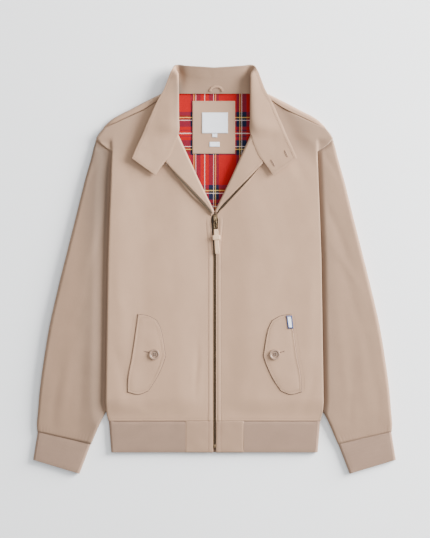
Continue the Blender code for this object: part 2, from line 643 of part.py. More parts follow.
def build_button(name, centre, radius, height, base_z, side):
    """Four-hole button: a turned profile with a raised rim, its holes drilled through."""
    profile = ((0.0, height * 0.62), (0.62, height * 0.62), (0.74, height), (0.9, height),
               (1.0, height * 0.55), (0.9, 0.0), (0.0, 0.0))
    mesh = bpy.data.meshes.new(name)
    points = [(r * radius * MM, 0, z * MM) for r, z in profile]
    mesh.from_pydata(points, [(k, k + 1) for k in range(len(points) - 1)], [])
    made = add_object(name, mesh, HORN)
    made.location = (centre[0] * side * MM, centre[1] * MM, base_z * MM)
    screw = made.modifiers.new("turn", "SCREW")
    screw.steps = screw.render_steps = 18
    screw.use_merge_vertices = True
    screw.merge_threshold = 0.00005
    spread = radius * 0.24
    for k in range(4):
        angle = math.pi / 4 + k * math.pi / 2
        bpy.ops.mesh.primitive_cylinder_add(
            vertices=6, radius=radius * 0.1 * MM, depth=0.02,
            location=((centre[0] * side + spread * math.cos(angle)) * MM,
                      (centre[1] + spread * math.sin(angle)) * MM, base_z * MM))
        drill = bpy.context.object
        drill.name = f"drill_{name}_{k}"
        combine(made, drill, "DIFFERENCE")
    return made


def build_buttons():
    top = front_height(*FLAP_BUTTON) + CLOTH / 2 + GAP + FLAP
    for name, side in (("pocket_button_left", 1), ("pocket_button_right", -1)):
        build_button(name, FLAP_BUTTON, BUTTON_R, 3.2, top + GAP, side)
    under_tab = front_height(130, 210) + CLOTH / 2 + GAP
    build_button("collar_button_upper", (141.0, 219.0), 7.2, 2.6, under_tab, -1)
    build_button("collar_button_lower", (119.5, 201.5), 7.2, 2.6, under_tab, -1)


def build_zip():
    for name, side in (("zip_tape_left", 1), ("zip_tape_right", -1)):
        box(name, (side * 5.8, -118.0, 5.5), (11.0, 454.0, 1.0), TAPE)
    box("zip_chain", (0, (106.0 + ZIP_LOW_Y) / 2, 7.65), (4.6, 106.0 - ZIP_LOW_Y, 2.7), BRASS, 0.5)
    box("zip_box", (0, ZIP_LOW_Y - 4.2, 7.7), (4.8, 7.6, 3.0), BRASS, 0.6)
    for name, side in (("zip_row_left", 1), ("zip_row_right", -1)):
        cloth(name, [turned(zip_row_strip(), side)], 1.2, BRASS)
    x, y, z = HINGE
    slider = box("zip_slider", (x, 99.4, 10.6), (7.6, 15.6, 1.6), BRASS, 0.5)
    bridge = box("slider_bridge", (x, 98.4, 13.2), (2.2, 13.0, 4.6), BRASS, 0.6)
    inside = box("bridge_space", (x, 98.4, 13.35), (6.0, 10.2, 2.9), BRASS)
    combine(bridge, inside, "DIFFERENCE")
    combine(slider, bridge, "UNION")


def build_pull():
    """The pull: a metal tab with a window for the bridge, a cloth strap, and its keeper."""
    x, y, z = HINGE
    empty = bpy.data.objects.new("pull_pivot", None)
    JACKET.objects.link(empty)
    empty.location = (x * MM, y * MM, z * MM)
    tab = box("zip_pull", (0, -7.2, 0), (6.4, 16.0, 1.3), BRASS, 0.4)
    window = box("pull_window", (0, -4.3, 0), (3.4, 7.4, 5.0), BRASS)
    tab.parent = window.parent = empty
    combine(tab, window, "DIFFERENCE")
    slant = math.atan(-STRAP_SLANT)
    strap = box("pull_strap", (-STRAP_SLANT * 40.0, -40.4, 0), (9.2, 48.6, 2.4), TWILL, 0.8)
    keeper = box("strap_keeper", (-STRAP_SLANT * 32.0, -32.4, 0), (15.4, 8.8, 5.4), TWILL, 1.0)
    slot = box("keeper_slot", (-STRAP_SLANT * 32.0, -32.4, 0), (9.9, 20.0, 3.1), TWILL)
    for piece in (strap, keeper, slot):
        piece.rotation_euler = (0, 0, slant)
        piece.parent = empty
    combine(keeper, slot, "DIFFERENCE")


def build_jacket():
    build_back()
    build_lining()
    for side, wearer in ((1, "left"), (-1, "right")):
        build_front("front_" + wearer, side)
        build_facing("facing_" + wearer, side)
        build_sleeve("sleeve_" + wearer, side)
        build_cuff("cuff_" + wearer, side)
        build_hem_tab("hem_tab_" + wearer, side)
        build_flap("flap_" + wearer, side)
    build_hem_rib()
    build_collar()
    build_labels()
    build_hanger_loop()
    build_buttons()
    build_zip()
    build_pull()


for leftover in list(bpy.data.objects):
    bpy.data.objects.remove(leftover)
JACKET = collection("harrington_jacket")
CUTTERS = collection("cutters")
build_jacket()
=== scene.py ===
"""Dresses the harrington jacket's frame: twill, rib knit, tartan lining, zip, buttons and sewing.

Every piece is a surface worked out from the jacket's own cut and stands in the frame's coordinates:
+Z up from the surface it lies on, +Y to the collar, +X to the wearer's left. Tables and sizes are in
millimetres and are scaled once, when a mesh is made. Half-width means distance from the centre line.
"""
import math
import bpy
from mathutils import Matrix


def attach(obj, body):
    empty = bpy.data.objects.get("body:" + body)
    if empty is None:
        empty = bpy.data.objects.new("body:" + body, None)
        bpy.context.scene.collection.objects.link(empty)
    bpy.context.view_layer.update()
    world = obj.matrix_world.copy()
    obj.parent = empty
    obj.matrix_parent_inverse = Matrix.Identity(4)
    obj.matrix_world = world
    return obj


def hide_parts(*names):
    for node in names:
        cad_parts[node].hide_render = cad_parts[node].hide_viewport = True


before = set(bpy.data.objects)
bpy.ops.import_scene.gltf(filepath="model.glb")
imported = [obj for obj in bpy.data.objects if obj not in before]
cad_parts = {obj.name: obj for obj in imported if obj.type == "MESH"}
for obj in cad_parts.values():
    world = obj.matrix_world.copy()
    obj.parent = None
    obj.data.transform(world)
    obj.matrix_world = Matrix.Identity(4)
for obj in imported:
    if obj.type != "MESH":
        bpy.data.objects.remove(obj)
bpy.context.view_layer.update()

import bmesh
import bpy
import numpy as np
from bpy.props import FloatProperty, FloatVectorProperty, PointerProperty

bl_info = {
    "name": "Harrington Jacket Dressing",
    "version": (1, 0, 0),
    "blender": (4, 5, 0),
    "location": "View3D > Sidebar > Jacket",
    "description": "Builds the cloth, sewing and fittings of a laid-out harrington jacket",
    "category": "Object",
}

MM = 0.001
SIDES = ((1, "left"), (-1, "right"))

# ---- driving sizes of the cut, in millimetres ----
GAP = 0.4
CLOTH = 1.5
BACK_MID = CLOTH / 2
LINING = 1.0
FACING = 1.0
FLAP = 1.3
COLLAR = 2.4
KNIT = 2.4
SLEEVE_WALL = 1.4
SLEEVE_LOW = 5.5
LIFT = SLEEVE_LOW + 0.35
FRONT_CENTRE = 8.8
FRONT_CROWN = 12.2
FRONT_HEM = 8.0
KNIT_TOP = 8.4
HEM_TOP_Y = -290.7
HEM_LOW_Y = -351.3
V_POINT_Y = 108.0
GORGE_Y = 256.8
ROLL_OUT = (0.914, -0.405)
ZIP_HALF = 2.7
ZIP_LOW_Y = -335.5
NECK_HALF = 80.0
NECK_Y = 338.5
HINGE = (1.6, 94.8, 13.4)
MID_HALF = 150.0
STRAP_SLANT = -0.062
FLAP_BUTTON = (115.8, -162.5)
BUTTON_R = 10.2

# ---- tables of the cut: like the frame's, but some have more rows and some of their values differ ----
SIDE = (("half", "y", "edge_z", "curl"), (
    (204.0, -290.7, 5.2, 4.0), (206.2, -281.0, 7.6, 3.6), (208.0, -272.0, 8.4, 3.0),
    (209.4, -255.0, 8.2, 2.6),
    (208.2, -173.7, 8.2, 2.6), (206.7, -77.2, 8.2, 2.6), (205.2, 19.3, 8.2, 2.6),
    (202.1, 110.0, 8.2, 2.6), (199.4, 173.7, 8.2, 2.6), (197.4, 228.7, 7.8, 2.4),
    (209.4, 235.6, 8.2, 2.6), (220.0, 244.0, 8.2, 2.8), (228.1, 253.4, 5.0, 5.0),
    (222.5, 262.5, 2.8, 7.0), (214.6, 272.1, 2.8, 6.0)))
FRONT_EDGE = (("half", "y"), (
    (2.7, -290.7), (2.7, 36.0), (3.6, 58.0), (5.9, 80.0), (6.8, 93.0),
    (6.7, 98.5), (6.0, 102.5), (4.2, 105.8), (1.6, 108.0),
    (34.4, 173.7), (72.8, 256.8), (78.5, 278.0),
    (82.0, 303.0), (84.5, 320.0), (86.0, 336.0)))
SHOULDER_SEAM = (("half", "y"), (
    (0.0, 340.0), (86.0, 336.0), (102.3, 330.0), (134.1, 309.5), (180.5, 287.6), (214.6, 272.1)))
SHOULDER_FOLD = (("seam_half", "seam_y", "fold_half", "fold_y", "top_z"), (
    (87.0, 337.0, 85.5, 348.0, 11.0), (102.3, 331.2, 99.5, 340.5, 11.2),
    (118.0, 321.0, 119.5, 330.5, 11.4), (134.1, 310.8, 139.0, 320.6, 11.6),
    (157.0, 299.8, 162.5, 308.2, 11.4), (180.5, 288.9, 186.0, 296.4, 10.4),
    (197.0, 281.0, 200.6, 287.0, 8.6), (204.5, 277.2, 207.2, 280.9, 6.6),
    (210.4, 274.3, 211.9, 276.3, 4.6), (213.4, 272.6, 214.1, 273.6, 3.4)))
LAPEL = (("along", "edge_half", "edge_y", "facing_half", "facing_y", "roll_r"), (
    (0.00, 5.8, 105.2, 3.0, 107.3, 1.1), (0.06, 11.6, 113.4, 7.2, 116.2, 1.3),
    (0.15, 21.5, 122.4, 16.4, 127.6, 1.4), (0.35, 41.5, 140.6, 35.0, 147.0, 1.6),
    (0.55, 61.2, 162.6, 54.0, 166.0, 1.8), (0.80, 80.5, 189.0, 76.4, 187.8, 2.1),
    (1.00, 94.3, 206.3, 93.7, 206.5, 2.3)))
SLEEVE = (("outer_half", "outer_y", "inner_half", "inner_y", "crown", "inner_z"), (
    (218.0, 257.0, 163.0, 221.6, 7.0, 5.5), (228.1, 251.9, 168.0, 214.0, 10.4, 5.5),
    (229.9, 245.4, 162.0, 205.0, 10.8, 5.5),
    (232.6, 236.6, 154.0, 193.0, 11.2, 5.5), (236.6, 220.0, 140.0, 172.0, 11.6, 5.5),
    (249.6, 173.7, 118.0, 111.9, 12.4, 5.5), (266.9, 104.2, 105.0, 46.3, 13.4, 5.5),
    (284.4, 34.7, 119.0, -11.6, 14.0, 5.5), (301.6, -34.7, 139.9, -75.3, 14.0, 5.5),
    (317.5, -104.2, 160.2, -140.9, 14.0, 5.5), (329.2, -173.7, 180.5, -204.6, 13.6, 5.5),
    (336.9, -231.6, 201.0, -258.6, 12.8, 5.5), (340.6, -274.0, 218.6, -291.4, 11.6, 5.6),
    (342.6, -300.0, 231.0, -320.0, 10.2, 8.4), (341.7, -311.4, 237.9, -335.9, 9.1, 9.0)))
CUFF = (("outer_half", "outer_y", "inner_half", "inner_y"), (
    (340.8, -310.7, 238.2, -335.2), (349.6, -365.6, 260.2, -392.6)))
UNDER_BODY = ((230.0, 225.0), (197.4, 230.0), (168.0, 214.0), (105.0, 46.3), (203.0, -262.0), (240.0, -262.0))
COLLAR_SECTIONS = (("seam_half", "seam_y", "seam_z", "turn_half", "turn_y", "turn_z",
                    "free_half", "free_y", "free_z", "fold"), (
    (0.0, 340.0, 4.2, 0.0, 364.0, 9.2, 0.0, 389.4, 16.6, 0.0),
    (35.0, 340.0, 4.2, 34.0, 367.0, 9.2, 37.4, 391.8, 16.6, 0.0),
    (56.0, 340.0, 4.3, 55.0, 371.0, 7.6, 58.0, 393.4, 15.4, 0.0),
    (66.2, 340.0, 4.5, 67.0, 379.6, 5.6, 69.0, 394.8, 13.8, 0.05),
    (70.8, 339.4, 4.9, 73.6, 382.2, 8.2, 75.4, 393.6, 15.0, 0.3),
    (73.2, 338.2, 6.2, 70.6, 377.6, 20.4, 81.8, 385.0, 21.4, 0.75),
    (76.6, 335.4, 7.0, 69.8, 361.0, 21.6, 89.0, 367.4, 21.2, 1.0),
    (78.8, 329.0, 8.0, 69.6, 342.0, 21.4, 97.6, 345.5, 21.6, 1.0),
    (78.8, 318.0, 8.6, 69.5, 326.0, 20.8, 107.5, 328.5, 21.8, 1.0),
    (76.6, 302.0, 9.2, 69.4, 307.5, 20.4, 116.5, 310.0, 21.8, 0.92),
    (73.6, 283.0, 9.8, 69.3, 287.0, 20.0, 124.5, 291.5, 21.6, 0.75),
    (70.6, 271.0, 13.4, 69.3, 273.5, 19.4, 130.4, 279.0, 21.4, 0.45),
    (70.0, 261.6, 17.6, 71.0, 261.3, 18.9, 135.2, 267.0, 21.2, 0.15),
    (74.2, 247.0, 18.4, 77.8, 248.0, 18.9, 138.6, 259.0, 21.0, 0.0),
    (80.6, 231.0, 18.4, 84.6, 232.4, 18.9, 142.2, 251.2, 21.0, 0.0),
    (86.8, 218.2, 18.5, 90.8, 220.0, 19.0, 146.2, 243.2, 21.2, 0.0),
    (95.8, 206.6, 18.7, 99.6, 208.8, 19.1, 150.2, 234.6, 21.0, 0.0),
    (104.6, 194.6, 18.9, 108.4, 197.0, 19.4, 154.2, 225.0, 21.4, 0.0),
    (113.4, 181.8, 19.4, 117.0, 184.4, 19.8, 158.4, 214.4, 22.0, 0.0)))
FLAP_STRAIGHT = ((147.0, -85.3), (152.3, -122.9), (158.8, -167.1), (166.2, -208.4), (167.0, -234.3))
FLAP_CURVED = ((111.6, -97.1), (105.8, -108.1), (98.2, -140.5), (95.6, -158.0), (94.4, -164.2),
               (96.0, -170.0), (100.6, -183.4), (113.1, -210.0), (127.8, -232.2))
FLAP_TOP = ((147.0, -85.3), (124.9, -89.7), (111.6, -97.1))
FLAP_LOW = ((167.0, -234.3), (145.5, -238.8), (127.8, -232.2))

# ---- creases and swells: centre, half length and half width along and across, turn, height ----
# A negative height is a soft trough and a positive one a soft ridge.
CREASE_COLUMNS = ("x", "y", "reach", "width", "turn_deg", "height")
FRONT_CREASES = (CREASE_COLUMNS, (
    (-34.0, -190.0, 52.0, 4.5, 91.0, -0.55), (-27.0, -186.0, 46.0, 5.0, 90.0, 0.4),
    (-178.0, -205.0, 60.0, 10.0, 104.0, -0.49), (-184.0, -60.0, 80.0, 12.0, 94.0, 0.42),
    (-90.0, 40.0, 90.0, 26.0, 62.0, 0.49), (-60.0, -60.0, 110.0, 24.0, 99.0, -0.42),
    (-128.0, 120.0, 60.0, 16.0, 40.0, -0.49), (-150.0, 214.0, 52.0, 12.0, 58.0, -0.7),
    (-118.0, 262.0, 46.0, 10.0, 66.0, -0.63), (-168.0, 250.0, 30.0, 8.0, 30.0, 0.42),
    (-96.0, -262.0, 40.0, 12.0, 8.0, -0.35), (-150.0, -270.0, 30.0, 9.0, -14.0, 0.28),
    (152.0, 218.0, 56.0, 12.0, 120.0, -0.7), (120.0, 262.0, 44.0, 10.0, 112.0, -0.63),
    (176.0, 252.0, 28.0, 8.0, 150.0, 0.42), (100.0, 60.0, 100.0, 28.0, 112.0, 0.42),
    (48.0, -40.0, 120.0, 22.0, 84.0, -0.35), (70.0, -236.0, 44.0, 12.0, 80.0, -0.35),
    (186.0, -90.0, 90.0, 12.0, 88.0, 0.35), (130.0, -20.0, 70.0, 18.0, 70.0, -0.35),
    (182.0, -232.0, 46.0, 9.0, 76.0, -0.42), (60.0, -272.0, 36.0, 10.0, -6.0, -0.28),
    (-148.0, 268.0, 64.0, 22.0, 62.0, -4.2), (148.0, 268.0, 64.0, 20.0, 118.0, -3.2)))
SLEEVE_CREASES = (CREASE_COLUMNS, (
    (-240.0, -20.0, 150.0, 9.0, 76.0, -0.54), (-262.0, -90.0, 170.0, 12.0, 80.0, 0.54),
    (-222.0, 60.0, 90.0, 8.0, 70.0, -0.48), (-256.0, -220.0, 80.0, 9.0, 84.0, -0.54),
    (-284.0, -210.0, 90.0, 11.0, 82.0, 0.48), (-306.0, -260.0, 46.0, 8.0, 84.0, -0.36),
    (-232.0, 190.0, 50.0, 7.0, 62.0, -0.42), (-290.0, -300.0, 24.0, 10.0, 20.0, -0.3),
    (236.0, 70.0, 80.0, 8.0, 112.0, -0.6), (250.0, 10.0, 60.0, 7.0, 120.0, 0.42),
    (268.0, -60.0, 110.0, 10.0, 104.0, -0.48), (248.0, -150.0, 130.0, 12.0, 98.0, 0.54),
    (286.0, -180.0, 90.0, 10.0, 96.0, 0.42), (262.0, -240.0, 60.0, 8.0, 94.0, -0.42),
    (312.0, -250.0, 50.0, 9.0, 96.0, -0.36), (228.0, 196.0, 46.0, 7.0, 118.0, -0.42)))
BACK_CREASES = (CREASE_COLUMNS, (
    (-20.0, -120.0, 130.0, 9.0, 88.0, 0.5), (36.0, -30.0, 120.0, 10.0, 96.0, 0.5),
    (-52.0, 40.0, 90.0, 8.0, 78.0, 0.4), (12.0, -240.0, 46.0, 9.0, 84.0, 0.5),
    (-140.0, -200.0, 70.0, 10.0, 104.0, -0.5), (150.0, -180.0, 80.0, 10.0, 78.0, -0.5),
    (90.0, -250.0, 40.0, 9.0, 70.0, 0.4), (-92.0, -262.0, 36.0, 8.0, 112.0, 0.4)))


# ---- shape rules ----
def columns(table):
    """A table with named columns, as a dictionary of arrays."""
    names, rows = table
    return dict(zip(names, np.array(rows, float).T))


def run_along(path):
    """Length along a path up to each of its points."""
    return np.r_[0, np.cumsum(np.linalg.norm(np.diff(path, axis=0), axis=1))]


def squarish(value, power):
    """A sine or cosine raised to a power with its sign kept: below 1 it squares off a round outline."""
    return np.sign(value) * np.abs(value) ** power


def along(points, count):
    """Even points on a smooth curve through the given ones: cubics whose slopes follow the chord length."""
    points = np.array(points, float)
    steps = run_along(points[:, :2])
    return smooth_rows(points, steps, np.linspace(0, steps[-1], count))


def smooth_rows(points, steps, where):
    """Cubics through rows of values that stand at the given steps, read at other places."""
    slopes = np.gradient(points, steps, axis=0)
    k = np.clip(np.searchsorted(steps, where, side="right") - 1, 0, len(steps) - 2)
    span = (steps[k + 1] - steps[k])[:, None]
    t = ((where - steps[k]) / span[:, 0])[:, None]
    return ((2 * t**3 - 3 * t**2 + 1) * points[k] + (t**3 - 2 * t**2 + t) * span * slopes[k]
            + (3 * t**2 - 2 * t**3) * points[k + 1] + (t**3 - t**2) * span * slopes[k + 1])


def ease(t):
    """Smooth step from 0 to 1: three t squared less two t cubed."""
    t = np.clip(t, 0, 1)
    return t * t * (3 - 2 * t)


def hump(t):
    """Bell of height 1 at 0, close to nothing beyond 2: e to the power of minus t squared."""
    return np.exp(-t * t)


def fine(stops, pitch):
    """The stops with even steps of about pitch put between them."""
    parts = [np.linspace(a, b, max(int(round(abs(b - a) / pitch)), 1) + 1)[:-1]
             for a, b in zip(stops[:-1], stops[1:])]
    return np.r_[np.concatenate(parts), stops[-1]]


def drift(x, y, seed, size):
    """Slow unevenness of cloth, about -1 to 1: a quarter of the sum of seven long sine waves."""
    total = np.zeros(np.shape(x))
    for k in range(7):
        turn = seed * 1.7 + k * 2.39996
        pitch = size * (0.7 + 0.19 * k)
        total = total + np.sin((x * math.cos(turn) + y * math.sin(turn)) * 2 * math.pi / pitch
                               + seed * 3.1 + k * 1.3 + 0.8 * np.sin(y / size + k))
    return total / 4


def creases(x, y, table):
    """Sum of soft troughs and ridges: a bell across each crease, and a softer one along it."""
    crease = columns(table)
    total = np.zeros(np.shape(x))
    for k in range(len(crease["x"])):
        turn = math.radians(crease["turn_deg"][k])
        dx, dy = x - crease["x"][k], y - crease["y"][k]
        run = (dx * math.cos(turn) + dy * math.sin(turn)) / crease["reach"][k]
        bow = 3.0 * np.sin(run * 1.9 + k)
        across = (-dx * math.sin(turn) + dy * math.cos(turn) + bow) / crease["width"][k]
        total = total + crease["height"][k] * hump(across) * hump(run * np.abs(run) ** 0.5)
    return total


def back_lift(half, y):
    """How far the back is lifted by the sleeve under it: a soft step round the covered stretch of sleeve."""
    corners = np.array(UNDER_BODY)
    beyond = np.full(np.shape(half), -1e9)
    for a, b in zip(corners, np.roll(corners, -1, axis=0)):
        edge = (b - a) / np.linalg.norm(b - a)
        beyond = np.maximum(beyond, (half - a[0]) * edge[1] - (y - a[1]) * edge[0])
    return LIFT * (1 - ease((beyond - 12) / 24))


def front_height(half, y):
    """Mid height of the jacket's upper layer away from its folds.

    It rises from the centre to its crown 74 mm out, falls by 0.8 mm to the shoulder, and eases down to the
    waistband over the last 44 mm.
    """
    crown = FRONT_CENTRE + (FRONT_CROWN - FRONT_CENTRE) * ease((half - 4) / 70)
    crown = crown - 0.8 * ease((y - 250) / 60)
    return crown + (FRONT_HEM - crown) * ease((-245 - y) / 44)


def side_line(y):
    """Half-width of the jacket at its side, where the front folds under."""
    side = columns(SIDE)
    return np.interp(y, side["y"], side["half"])


def seam_line(half):
    """Where the shoulder seam stands along Y at a half-width."""
    seam = columns(SHOULDER_SEAM)
    return np.interp(half, seam["half"], seam["y"])


def front_edge_line(y):
    """Half-width of the front's own edge beside the zip and up the open neck."""
    edge = columns(FRONT_EDGE)
    return np.interp(y, edge["y"], edge["half"])


def row_end(level, top_line, line):
    """Where each row of a panel (hem at level 0, shoulder at level 1) meets an outline given as half(y).

    The half-width is moved half of what is missing, over and over, until row and outline agree.
    """
    half = np.full(np.shape(level), MID_HALF)
    for _ in range(80):
        half = half + 0.5 * (line(HEM_TOP_Y + level * (top_line(half) - HEM_TOP_Y)) - half)
    return half


# ---- meshes ----
def arc_uv(grid):
    """Cloth coordinates of a grid in metres: mean length along its rows and down its columns."""
    across = np.linalg.norm(np.diff(grid, axis=1), axis=2)
    down = np.linalg.norm(np.diff(grid, axis=0), axis=2).mean(1)
    u = np.concatenate([np.zeros((len(grid), 1)), np.cumsum(across, axis=1)], axis=1)
    u = u - u[:, u.shape[1] // 2][:, None]
    v = np.r_[0, np.cumsum(down)][:, None] + np.zeros_like(u)
    return np.stack([u, v], axis=-1) * MM


def quads(rows, cols, start, close):
    """Faces of a grid of points; a closed grid joins its last column to its first."""
    index = start + np.arange(rows * cols).reshape(rows, cols)
    if close:
        index = np.hstack([index, index[:, :1]])
    corners = [index[:-1, :-1], index[:-1, 1:], index[1:, 1:], index[1:, :-1]]
    return np.stack(corners, axis=-1).reshape(-1, 4)


def mend(mesh, step, **options):
    """Runs one mesh tool on all points, or on the open edges, and turns the faces outwards."""
    work = bmesh.new()
    work.from_mesh(mesh)
    if step == "weld":
        bmesh.ops.remove_doubles(work, verts=work.verts, **options)
    else:
        tool = {"fill": bmesh.ops.holes_fill, "bridge": bmesh.ops.bridge_loops}[step]
        tool(work, edges=[edge for edge in work.edges if edge.is_boundary], **options)
    bmesh.ops.recalc_face_normals(work, faces=work.faces)
    work.to_mesh(mesh)
    work.free()


def mesh_of(name, grids, close=False, weld=2e-5):
    """One mesh of quads from grids of points in millimetres, with cloth coordinates, its seams closed."""
    points, faces, uvs, start = [], [], [], 0
    for grid in grids:
        rows, cols = grid.shape[:2]
        points.append(grid.reshape(-1, 3))
        faces.append(quads(rows, cols, start, close))
        uvs.append(arc_uv(grid).reshape(-1, 2))
        start += rows * cols
    points, faces, uvs = np.vstack(points) * MM, np.vstack(faces), np.vstack(uvs)
    mesh = bpy.data.meshes.new(name)
    mesh.vertices.add(len(points))
    mesh.vertices.foreach_set("co", points.ravel())
    mesh.loops.add(faces.size)
    mesh.loops.foreach_set("vertex_index", faces.ravel())
    mesh.polygons.add(len(faces))
    mesh.polygons.foreach_set("loop_start", np.arange(0, faces.size, 4))
    layer = mesh.uv_layers.new(name="cloth")
    layer.uv.foreach_set("vector", uvs[faces.ravel()].ravel())
    mesh.update(calc_edges=True)
    if weld:
        mend(mesh, "weld", dist=weld)
    mesh.validate()
    return mesh


def piece(name, mesh, finish, smooth_deg=50.0):
    """A new object at the origin with its material, shaded smooth but for sharp edges."""
    made = bpy.data.objects.new(name, mesh)
    bpy.context.scene.collection.objects.link(made)
    mesh.materials.clear()
    mesh.materials.append(finish)
    mesh.shade_smooth()
    mesh.set_sharp_from_angle(angle=math.radians(smooth_deg))
    return made


def cloth(name, grids, thickness, finish, even=True, rim=0):
    """A thin shell of cloth round the given mid surface, its face up, its cut edges rounded."""
    mesh = mesh_of(name, grids)
    normals = np.zeros(len(mesh.polygons) * 3)
    areas = np.zeros(len(mesh.polygons))
    mesh.polygons.foreach_get("normal", normals)
    mesh.polygons.foreach_get("area", areas)
    if (normals.reshape(-1, 3)[:, 2] * areas).sum() < 0:
        mesh.flip_normals()
    made = piece(name, mesh, finish)
    wall = made.modifiers.new("wall", "SOLIDIFY")
    wall.thickness = thickness * MM
    wall.offset = 0
    wall.use_even_offset = even
    wall.use_rim = True
    if rim:
        edges = made.modifiers.new("edges", "BEVEL")
        edges.width = rim * MM
        edges.segments = 2
        edges.limit_method = "ANGLE"
        edges.angle_limit = math.radians(60)
    return made


def points_of(mesh):
    """The mesh's points, in metres."""
    points = np.zeros(len(mesh.vertices) * 3)
    mesh.vertices.foreach_get("co", points)
    return points.reshape(-1, 3)


def store(mesh, name, values):
    """Stores one number at each point, for a material to read."""
    mesh.attributes.new(name, "FLOAT", "POINT").data.foreach_set("value", values.astype(np.float32))


def set_painted_shade(made, rule):
    """Stores how much painted shade darkens the cloth at each point: a rule of x and y in millimetres."""
    x, y, _ = points_of(made.data).T / MM
    store(made.data, "deep", rule(x, y))


def turned(grid, side):
    """The grid on the wearer's left (side 1) or turned over to the right (side -1)."""
    return grid * np.array([side, 1, 1])


def dress(made, body="jacket", node=None):
    """Lets a piece ride on its body, and stand for its node if it has one."""
    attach(made, body)
    if node:
        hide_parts(node)


def dress_all(extras, body="jacket"):
    """Lets pieces without a node of their own ride on a body."""
    for extra in extras:
        dress(extra, body)


def strand(path, radius, sides=6, closed=False, flat=1.0):
    """A round thread along a path: rings at right angles to it, flattened in height by flat."""
    path = np.asarray(path, float)
    if closed:
        ahead = np.roll(path, -1, axis=0) - np.roll(path, 1, axis=0)
    else:
        ahead = np.gradient(path, axis=0)
    ahead = ahead / np.linalg.norm(ahead, axis=1)[:, None]
    side = np.cross(ahead, [0, 0, 1.0])
    side = side / np.maximum(np.linalg.norm(side, axis=1)[:, None], 1e-9)
    up = np.cross(side, ahead)
    turn = np.linspace(0, 2 * np.pi, sides, endpoint=False)
    radius = np.broadcast_to(radius, len(path))[:, None, None]
    ring = (side[:, None] * np.cos(turn)[None, :, None]
            + up[:, None] * flat * np.sin(turn)[None, :, None])
    return path[:, None] + ring * radius


def stitch_rings(path, length=2.4, space=1.0, radius=0.28, sides=4, rise=0.12):
    """Running stitches along a path: each is a short thread, thin where it dips in and raised mid-way."""
    path = np.asarray(path, float)
    steps = run_along(path)
    count = max(int(steps[-1] / (length + space)), 1)
    pitch = steps[-1] / count
    share = np.array([0.0, 0.12, 0.5, 0.88, 1.0])
    slim = np.array([0.05, 0.8, 1.0, 0.8, 0.05])
    where = (np.arange(count)[:, None] * pitch + (pitch - length) / 2 + share[None] * length)
    mid = np.stack([np.interp(where, steps, path[:, k]) for k in range(3)], axis=-1)
    mid[..., 2] += rise * np.sin(share * np.pi)[None]
    ahead = mid[:, -1] - mid[:, 0]
    ahead = ahead / np.linalg.norm(ahead, axis=1)[:, None]
    side = np.cross(ahead, [0, 0, 1.0])
    side = side / np.linalg.norm(side, axis=1)[:, None]
    up = np.cross(side, ahead)
    turn = np.linspace(0, 2 * np.pi, sides, endpoint=False)
    ring = (side[:, None, None] * np.cos(turn)[None, None, :, None]
            + up[:, None, None] * np.sin(turn)[None, None, :, None])
    return mid[:, :, None] + ring * (radius * slim)[None, :, None, None]


def rings_piece(name, rings, finish, smooth_deg=50.0):
    """Many short tubes of the same make as one mesh, with their ends closed."""
    count, rows, cols = rings.shape[:3]
    base = quads(rows, cols, 0, True)
    faces = (base[None] + (np.arange(count) * rows * cols)[:, None, None]).reshape(-1, 4)
    mesh = bpy.data.meshes.new(name)
    mesh.from_pydata(rings.reshape(-1, 3) * MM, [], faces.tolist())
    mend(mesh, "fill")
    return piece(name, mesh, finish, smooth_deg)


def stitching(name, paths, finish, **sizes):
    """All stitches of one piece as one mesh."""
    return rings_piece(name, np.concatenate([stitch_rings(path, **sizes) for path in paths]), finish)


def tubes_piece(name, tubes, finish, smooth_deg=50.0):
    """Tubes of different lengths as one mesh, with their ends closed."""
    made = piece(name, mesh_of(name, tubes, close=True), finish, smooth_deg)
    mend(made.data, "fill")
    return made


def loop_piece(name, loop, finish):
    """A closed strand whose last ring is joined to its first."""
    made = piece(name, mesh_of(name, [loop], close=True), finish)
    mend(made.data, "bridge")
    return made


# ---- materials ----
def wire(tree, kind, settings=None, **sockets):
    """Adds a node. A socket is named, or given by its place as s0, s1 and on; a socket as value is linked."""
    node = tree.nodes.new("ShaderNode" + kind)
    for name, value in (settings or {}).items():
        setattr(node, name, value)
    for name, value in sockets.items():
        place = int(name[1:]) if name[0] == "s" and name[1:].isdigit() else name
        if isinstance(value, bpy.types.NodeSocket):
            tree.links.new(value, node.inputs[place])
        else:
            node.inputs[place].default_value = value
    return node


def sum_of(tree, *values):
    """Adds up sockets and numbers."""
    total = values[0]
    for value in values[1:]:
        total = wire(tree, "Math", {"operation": "ADD"}, s0=total, s1=value).outputs[0]
    return total


def times(tree, value, factor):
    """A socket times a number."""
    return wire(tree, "Math", {"operation": "MULTIPLY"}, s0=value, s1=factor).outputs[0]


def scaled(tree, colour, level):
    """A colour made lighter or darker by a socket."""
    return wire(tree, "VectorMath", {"operation": "SCALE"}, s0=colour, Scale=level).outputs[0]


def noise(tree, place, scale, detail=2.0, **more):
    """Fractal noise of the given scale, in repeats for each metre."""
    return wire(tree, "TexNoise", Vector=place, Scale=scale, Detail=detail, **more).outputs[0]


def ranged(tree, value, low, high):
    """Noise from its usual 0.3 to 0.7, mapped onto the given limits."""
    return wire(tree, "MapRange", Value=value, s1=0.3, s2=0.7, s3=low, s4=high).outputs[0]


def wave(tree, u, v, pitch_u, pitch_v):
    """Sine wave, -1 to 1, over cloth coordinates, of the given pitch along each in millimetres (0: none)."""
    parts = [times(tree, axis, 2 * math.pi / (pitch * MM))
             for axis, pitch in ((u, pitch_u), (v, pitch_v)) if pitch]
    return wire(tree, "Math", {"operation": "SINE"}, s0=sum_of(tree, *parts)).outputs[0]


